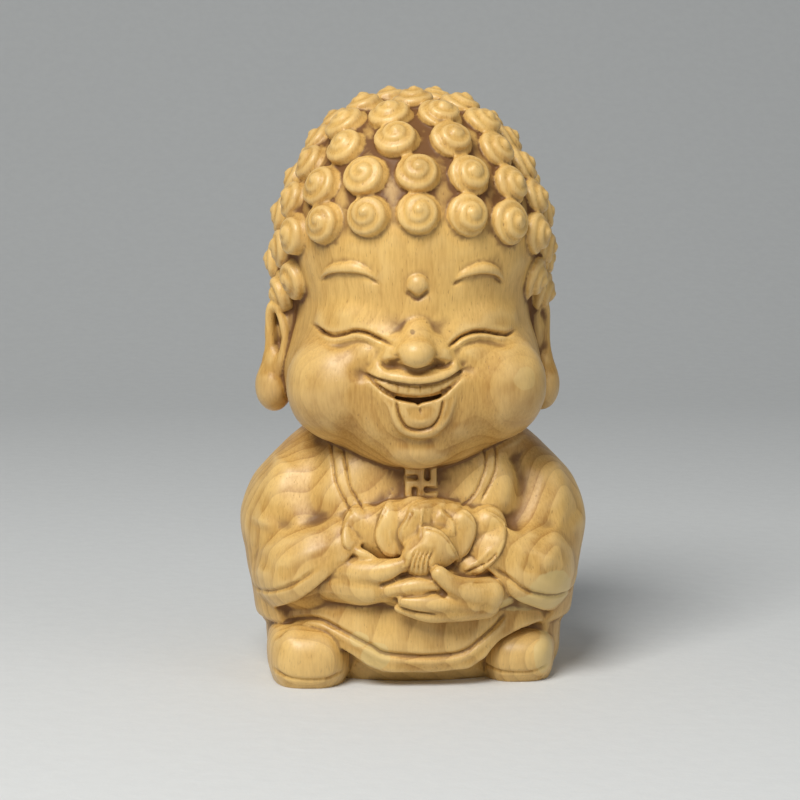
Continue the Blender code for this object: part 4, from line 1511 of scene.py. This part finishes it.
def pale_patch() -> bpy.types.NodeTree:
    """A patch where the outermost, paler wood shows, with an uneven edge.

    Returns:
        The group's tree.
    """
    tree = bpy.data.node_groups.new("Pale patch", "ShaderNodeTree")
    given = {"Place": "NodeSocketVector", "Centre": "NodeSocketVector", "Reach": "NodeSocketVector"}
    nodes, entry, leave = sockets(tree, given, ("Mask",))
    off = nodes.vector("SUBTRACT", entry["Place"], entry["Centre"])
    off = nodes.vector("LENGTH", nodes.vector("DIVIDE", off, entry["Reach"]))
    ragged = nodes.waver(entry["Place"], (0.35, 0.35, 0.18), 0.7)
    nodes.feed(leave["Mask"], nodes.spread(nodes.math("ADD", off, ragged), 1.06, 0.94))
    return tree


@dataclass(frozen=True)
class Boxwood:
    """Hand-polished boxwood: colours in linear light, places and the rings' spacing in millimetres."""

    pale: tuple = (0.720, 0.450, 0.135, 1.0)
    dark: tuple = (0.390, 0.195, 0.040, 1.0)
    sapwood: tuple = (0.660, 0.490, 0.195, 1.0)
    # The darkest brown: the knot's own colour, and grime with painted shade in lines and hollows.
    recess: tuple = (0.150, 0.062, 0.014, 1.0)
    pore: tuple = (0.235, 0.110, 0.030, 1.0)
    # Lighter colour on ridges and edges: some wear, and a painted highlight.
    wear_and_painted_highlight: tuple = (0.860, 0.620, 0.270, 1.0)
    ring_spacing: float = 1.75
    roughness: float = 0.36
    specular: float = 0.4
    coat: float = 0.08
    coat_roughness: float = 0.26
    relief: float = 0.22
    relief_depth: float = 0.00012
    knot: Point = (-1.1, -22.2, 58.2)
    patches: tuple[tuple[float, Point, Point], ...] = (
        (0.4, (16.7, -18.5, 50.4), (1.8, 6.0, 1.8)),
        (0.8, (21.8, -17.0, 16.0), (3.8, 9.0, 3.0)),
        (0.8, (19.8, -16.0, 13.9), (8.4, 6.0, 1.9)),
        (0.8, (20.9, -16.0, 4.8), (1.8, 9.0, 3.1)),
        (0.75, (-6.9, -20.0, 5.4), (2.4, 9.0, 2.4)),
        (0.75, (-9.6, -20.0, 8.2), (1.7, 9.0, 1.3)),
    )

    def material(self) -> bpy.types.Material:
        """The finish as a material, which reads the carving's crease and hollow values.

        Returns:
            The material.
        """
        made, nodes, shader = shaded("boxwood")
        place = nodes.place()
        grain = nodes.group(fibre(), {"Place": place})
        crease = nodes.add("ShaderNodeAttribute", attribute_name="crease").outputs["Fac"]
        colour = self.heartwood(nodes, place, grain)
        colour = nodes.mixed(self.sapwood_mask(nodes, place), colour, self.sapwood)
        colour = nodes.mixed(self.knot_mask(nodes, place), colour, self.recess)
        # Painted shade, with some grime, darkens the lines and hollows and makes them a little rougher.
        deep = self.grime_and_painted_shade_mask(nodes, place, crease)
        colour = nodes.mixed(deep, colour, self.recess)
        # A painted highlight, with some wear, on the ridges and edges that stand proud, which are also a
        # little glossier.
        wear_and_painted_highlight = nodes.spread(crease, -0.03, -0.2)
        colour = nodes.mixed(nodes.math("MULTIPLY", wear_and_painted_highlight, 0.35), colour, self.wear_and_painted_highlight)
        nodes.feed(shader["Base Color"], colour)
        dull = nodes.math("MULTIPLY", grain["Streak"], 0.16)
        dull = nodes.math("ADD", nodes.math("MULTIPLY", deep, 0.25), dull)
        dull = nodes.math("SUBTRACT", dull, nodes.math("MULTIPLY", wear_and_painted_highlight, 0.06))
        nodes.feed(shader["Roughness"], nodes.math("ADD", dull, self.roughness))
        relief = nodes.math("SUBTRACT", nodes.math("MULTIPLY", grain["Streak"], 0.35), grain["Pore"])
        nodes.feed(shader["Normal"], nodes.bump(relief, self.relief, self.relief_depth))
        nodes.feed(shader["Specular IOR Level"], self.specular)
        nodes.feed(shader["Coat Weight"], self.coat)
        nodes.feed(shader["Coat Roughness"], self.coat_roughness)
        return made

    def heartwood(
        self, nodes: Nodes, place: bpy.types.NodeSocket, grain: bpy.types.NodeOutputs
    ) -> bpy.types.NodeSocket:
        """The wood's colour from its rings, clouds, streaks and pores, with painted shade on the lower face.

        Args:
            nodes: the material's builder.
            place: the point in millimetres.
            grain: its fibre.

        Returns:
            The colour.
        """
        rings = nodes.group(growth_rings(), {"Place": place, "Spacing": self.ring_spacing})
        height = nodes.height(place)
        figured = nodes.spread(height, 34.0, 46.0, 0.62, 0.24)
        share = nodes.math("MULTIPLY", rings["Late wood"], figured)
        share = nodes.math("ADD", share, nodes.spread(grain["Cloud"], 0.35, 0.7, 0.0, 0.4))
        share = nodes.math("ADD", share, nodes.spread(grain["Streak"], 0.3, 0.75, -0.08, 0.24))
        # Painted shade on the lower face, full from 38.5 to 46 mm high and fading out by 36 and 56 mm.
        lower_face_shade = nodes.math("MULTIPLY", nodes.spread(height, 56.0, 46.0), nodes.spread(height, 36.0, 38.5))
        share = nodes.math("ADD", share, nodes.math("MULTIPLY", lower_face_shade, 0.42), clamp=True)
        colour = nodes.mixed(share, self.pale, self.dark)
        return nodes.mixed(nodes.math("MULTIPLY", grain["Pore"], 0.5), colour, self.pore)

    def sapwood_mask(self, nodes: Nodes, place: bpy.types.NodeSocket) -> bpy.types.NodeSocket:
        """Where the pale outer wood shows, next to the bark.

        Args:
            nodes: the material's builder.
            place: the point in millimetres.

        Returns:
            A mask from 0 to 1.
        """
        mask = 0.0
        tree = pale_patch()
        for strength, centre, reach in self.patches:
            patch = nodes.group(tree, {"Place": place, "Centre": centre, "Reach": reach})
            mask = nodes.math("MAXIMUM", mask, nodes.math("MULTIPLY", patch["Mask"], strength))
        return mask

    def knot_mask(self, nodes: Nodes, place: bpy.types.NodeSocket) -> bpy.types.NodeSocket:
        """Where the small dark knot above the nose is.

        Args:
            nodes: the material's builder.
            place: the point in millimetres.

        Returns:
            A mask from 0 to 1.
        """
        off = nodes.vector("MULTIPLY", nodes.vector("SUBTRACT", place, self.knot), (1.0, 0.1, 1.0))
        return nodes.spread(nodes.vector("LENGTH", off), 0.5, 0.3, 0.0, 0.85)

    def grime_and_painted_shade_mask(
        self, nodes: Nodes, place: bpy.types.NodeSocket, crease: bpy.types.NodeSocket
    ) -> bpy.types.NodeSocket:
        """Where grime and painted shade darken the lines and hollows, most of all between the curls.

        Args:
            nodes: the material's builder.
            place: the point in millimetres.
            crease: how deep the point lies in a line.

        Returns:
            A mask from 0 to 1.
        """
        hollow = nodes.add("ShaderNodeAttribute", attribute_name="hollow").outputs["Fac"]
        lines = nodes.spread(crease, 0.01, 0.17, 0.0, 0.62)
        # Painted shade and grime count for more higher up, most among the curls.
        toward_the_crown = nodes.spread(nodes.height(place), 52.0, 66.0, 0.3, 0.9)
        hollows = nodes.math("MULTIPLY", nodes.spread(hollow, 0.15, 0.95), toward_the_crown)
        return nodes.math("ADD", lines, hollows, clamp=True)


@dataclass(frozen=True)
class Plaster:
    """Plain painted plaster for the floor and the sweep behind it."""

    colour: tuple = (0.66, 0.675, 0.675, 1.0)
    clouded: tuple = (0.54, 0.55, 0.555, 1.0)
    roughness: float = 0.8
    relief: float = 0.2
    relief_depth: float = 0.0006

    def material(self) -> bpy.types.Material:
        """The finish as a material.

        Returns:
            The material.
        """
        made, nodes, shader = shaded("plaster")
        speck = nodes.noise(nodes.place(), (0.3, 0.3, 0.3), 6.0)
        shade = nodes.spread(speck, 0.3, 0.7, 0.0, 0.12)
        nodes.feed(shader["Base Color"], nodes.mixed(shade, self.colour, self.clouded))
        dull = nodes.spread(speck, 0.2, 0.8, self.roughness, self.roughness + 0.12)
        nodes.feed(shader["Roughness"], dull)
        nodes.feed(shader["Normal"], nodes.bump(speck, self.relief, self.relief_depth))
        return made


def sunk(mesh: bpy.types.Mesh, passes: int) -> np.ndarray:
    """How far each point lies below the surface round it, in millimetres.

    Args:
        mesh: the carving in metres.
        passes: how widely the surface round it is averaged.

    Returns:
        One value a point, more than 0 in a recess and less on an edge.
    """
    points = taken_apart(mesh)[0] / MM
    edges = np.empty(len(mesh.edges) * 2, np.int32)
    mesh.edges.foreach_get("vertices", edges)
    start, stop = edges.reshape(-1, 2).T
    normals = np.empty(len(points) * 3)
    mesh.vertex_normals.foreach_get("vector", normals)
    neighbours = np.bincount(edges, minlength=len(points))
    soft = points.copy()
    for _ in range(passes):
        ahead = [np.bincount(start, soft[stop, axis], len(points)) for axis in range(3)]
        behind = [np.bincount(stop, soft[start, axis], len(points)) for axis in range(3)]
        total = [one + other for one, other in zip(ahead, behind)]
        soft = np.stack(total, axis=1) / neighbours[:, None]
    return ((soft - points) * normals.reshape(-1, 3)).sum(axis=1)


@dataclass
class Carving:
    """The finished figure: all the parts fused, carved, thinned and stood on the floor."""

    head: Head = field(default_factory=Head)
    hair: Hair = field(default_factory=Hair)
    robe: Robe = field(default_factory=Robe)
    emblem: Emblem = field(default_factory=Emblem)
    lotus: Lotus = field(default_factory=Lotus)
    hands: Hands = field(default_factory=Hands)
    feet: Feet = field(default_factory=Feet)
    triangles: int = 190000
    waver: float = 0.12
    waver_rate: float = 0.28

    def mesh(self) -> bpy.types.Mesh:
        """The carved body in metres, flat where it stands.

        Returns:
            One closed mesh.
        """
        skull = self.head.skull()
        scalp_curls = self.hair.grown(skull)
        features = self.head.face.features(skull)
        head = self.head.face.opened(skull.mesh)
        clay = Clay()
        for part in (
            head, features, scalp_curls, self.head.ears.made(), self.robe.made(),
            self.emblem.made(), self.lotus.made(), self.hands.made(), self.feet.made(),
        ):
            clay.add(part)
        surface = Surface(clay.fused(Voxel.FINE, 1))
        self.head.face.finish(surface)
        self.robe.finish(surface)
        self.lotus.finish(surface)
        self.hands.finish(surface)
        self.knife_marks(surface)
        return self.stood(surface.carved())

    def knife_marks(self, surface: Surface) -> None:
        """Waver the whole surface a little, as a blade and sandpaper leave it."""
        drift = np.array([noise.noise(Vector(point) * self.waver_rate) for point in surface.points])
        surface.move(np.arange(len(drift)), drift * self.waver)

    def stood(self, mesh: bpy.types.Mesh) -> bpy.types.Mesh:
        """Thin the mesh, cut it flat at the ground and size it in metres.

        Args:
            mesh: the carved body in millimetres.

        Returns:
            The body in metres.
        """
        block = bpy.data.objects.new("whole", mesh)
        bpy.context.scene.collection.objects.link(block)
        thin = block.modifiers.new("thin", "DECIMATE")
        thin.ratio = min(1.0, self.triangles / (2 * len(mesh.polygons)))
        made = settled(block)
        cutting = bmesh.new()
        cutting.from_mesh(made)
        everything = cutting.verts[:] + cutting.edges[:] + cutting.faces[:]
        ground = {"plane_co": (0, 0, 0), "plane_no": (0, 0, 1)}
        bmesh.ops.bisect_plane(cutting, geom=everything, clear_inner=True, **ground)
        bmesh.ops.holes_fill(cutting, edges=[edge for edge in cutting.edges if edge.is_boundary])
        bmesh.ops.triangulate(cutting, faces=[face for face in cutting.faces if len(face.verts) > 3])
        bmesh.ops.scale(cutting, vec=(MM, MM, MM), verts=cutting.verts)
        cutting.to_mesh(made)
        cutting.free()
        return made

    def piece(self, finish: Boxwood) -> bpy.types.Object:
        """The carving as a piece of the scene, in place of its packed block.

        Args:
            finish: the wood.

        Returns:
            The piece.
        """
        mesh = self.mesh()
        mesh.name = "figure"
        # How sunk each point lies, which the wood reads for its painted shade and painted highlight.
        for name, passes in (("crease", 6), ("hollow", 70)):
            mesh.attributes.new(name, "FLOAT", "POINT").data.foreach_set("value", sunk(mesh, passes))
        mesh.shade_smooth()
        mesh.set_sharp_from_angle(angle=math.radians(60))
        mesh.materials.clear()
        mesh.materials.append(finish.material())
        piece = bpy.data.objects.new("figure", mesh)
        bpy.context.scene.collection.objects.link(piece)
        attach(piece, "root")
        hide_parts("carving")
        return piece


@dataclass(frozen=True)
class Lamp:
    """A soft square lamp that looks at the figure, its place and side in metres and its power in watts."""

    name: str
    place: Point
    side: float
    power: float
    colour: Point
    aim: Point = (0.0, 0.0, 0.05)

    def hang(self) -> None:
        """Put the lamp into the scene."""
        light = bpy.data.lights.new(self.name, "AREA")
        light.size = self.side
        light.energy = self.power
        light.color = self.colour
        lamp = bpy.data.objects.new(self.name, light)
        bpy.context.scene.collection.objects.link(lamp)
        lamp.location = self.place
        lamp.rotation_euler = (Vector(self.aim) - Vector(self.place)).to_track_quat("-Z", "Y").to_euler()


@dataclass
class Studio:
    """The pale floor with its sweep, a key lamp from above, a weak one to the right, a sky and the camera."""

    lamps: tuple[Lamp, ...] = (
        Lamp("key", (-0.22, -0.42, 0.57), 0.34, 5.3, (1.0, 0.985, 0.955)),
        Lamp("fill", (0.45, -0.35, 0.35), 0.35, 0.4, (0.97, 0.985, 1.0)),
    )
    sky_colour: tuple = (0.93, 0.965, 1.0, 1.0)
    sky_strength: float = 0.2
    floor_front: float = -1.2
    floor_back: float = 0.35
    sweep: float = 0.5
    wall_top: float = 1.6
    half_width: float = 1.6
    distance: float = 0.42
    raised: float = 13.0
    swung: float = -2.5
    width: float = 0.13675
    shift: Place = (-0.01625, 0.32625)

    def floor(self) -> bpy.types.Object:
        """A floor that curves up behind into a wall.

        Returns:
            The floor.
        """
        profile = [(self.floor_front, 0.0), (self.floor_back, 0.0)]
        for step in range(1, 25):
            turn = math.radians(90 * step / 24)
            profile.append((self.floor_back + self.sweep * math.sin(turn), self.sweep * (1 - math.cos(turn))))
        profile.append((self.floor_back + self.sweep, self.wall_top))
        making = bmesh.new()
        edges = (-self.half_width, self.half_width)
        rows = [[making.verts.new((across, y, z)) for across in edges] for y, z in profile]
        for low, high in zip(rows, rows[1:]):
            making.faces.new((low[0], low[1], high[1], high[0]))
        mesh = bpy.data.meshes.new("floor")
        making.to_mesh(mesh)
        making.free()
        mesh.shade_smooth()
        mesh.materials.append(Plaster().material())
        floor = bpy.data.objects.new("floor", mesh)
        bpy.context.scene.collection.objects.link(floor)
        return floor

    def light(self) -> None:
        """Hang the lamps and put an even sky round them."""
        for lamp in self.lamps:
            lamp.hang()
        sky = bpy.data.worlds.new("sky")
        sky.use_nodes = True
        background = sky.node_tree.nodes["Background"]
        background.inputs["Color"].default_value = self.sky_colour
        background.inputs["Strength"].default_value = self.sky_strength
        bpy.context.scene.world = sky

    def camera(self) -> None:
        """Set the camera at the photograph's angle."""
        lift, turn = math.radians(self.raised), math.radians(self.swung)
        away = Vector((math.sin(turn) * math.cos(lift), -math.cos(turn) * math.cos(lift), math.sin(lift)))
        lens = bpy.data.cameras.new("camera")
        lens.sensor_width = 36.0
        lens.lens = 36.0 * self.distance / self.width
        lens.shift_x, lens.shift_y = self.shift
        lens.clip_start = 0.01
        camera = bpy.data.objects.new("camera", lens)
        bpy.context.scene.collection.objects.link(camera)
        camera.location = away * self.distance
        camera.rotation_euler = (-away).to_track_quat("-Z", "Y").to_euler()
        bpy.context.scene.camera = camera
        bpy.context.scene.view_settings.view_transform = "Standard"


def main() -> None:
    """Build the figure, dress it, and set the studio round it."""
    logging.basicConfig(level=logging.INFO, format="%(name)s: %(message)s")
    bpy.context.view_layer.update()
    carving = Carving()
    piece = carving.piece(Boxwood())
    LOG.info("%s: %d triangles, rides on root and stands for carving", piece.name, len(piece.data.polygons))
    studio = Studio()
    LOG.info("%s: pale floor and sweep", studio.floor().name)
    studio.light()
    studio.camera()
    LOG.info("lamps and camera are set")


if __name__ == "__main__":
    main()
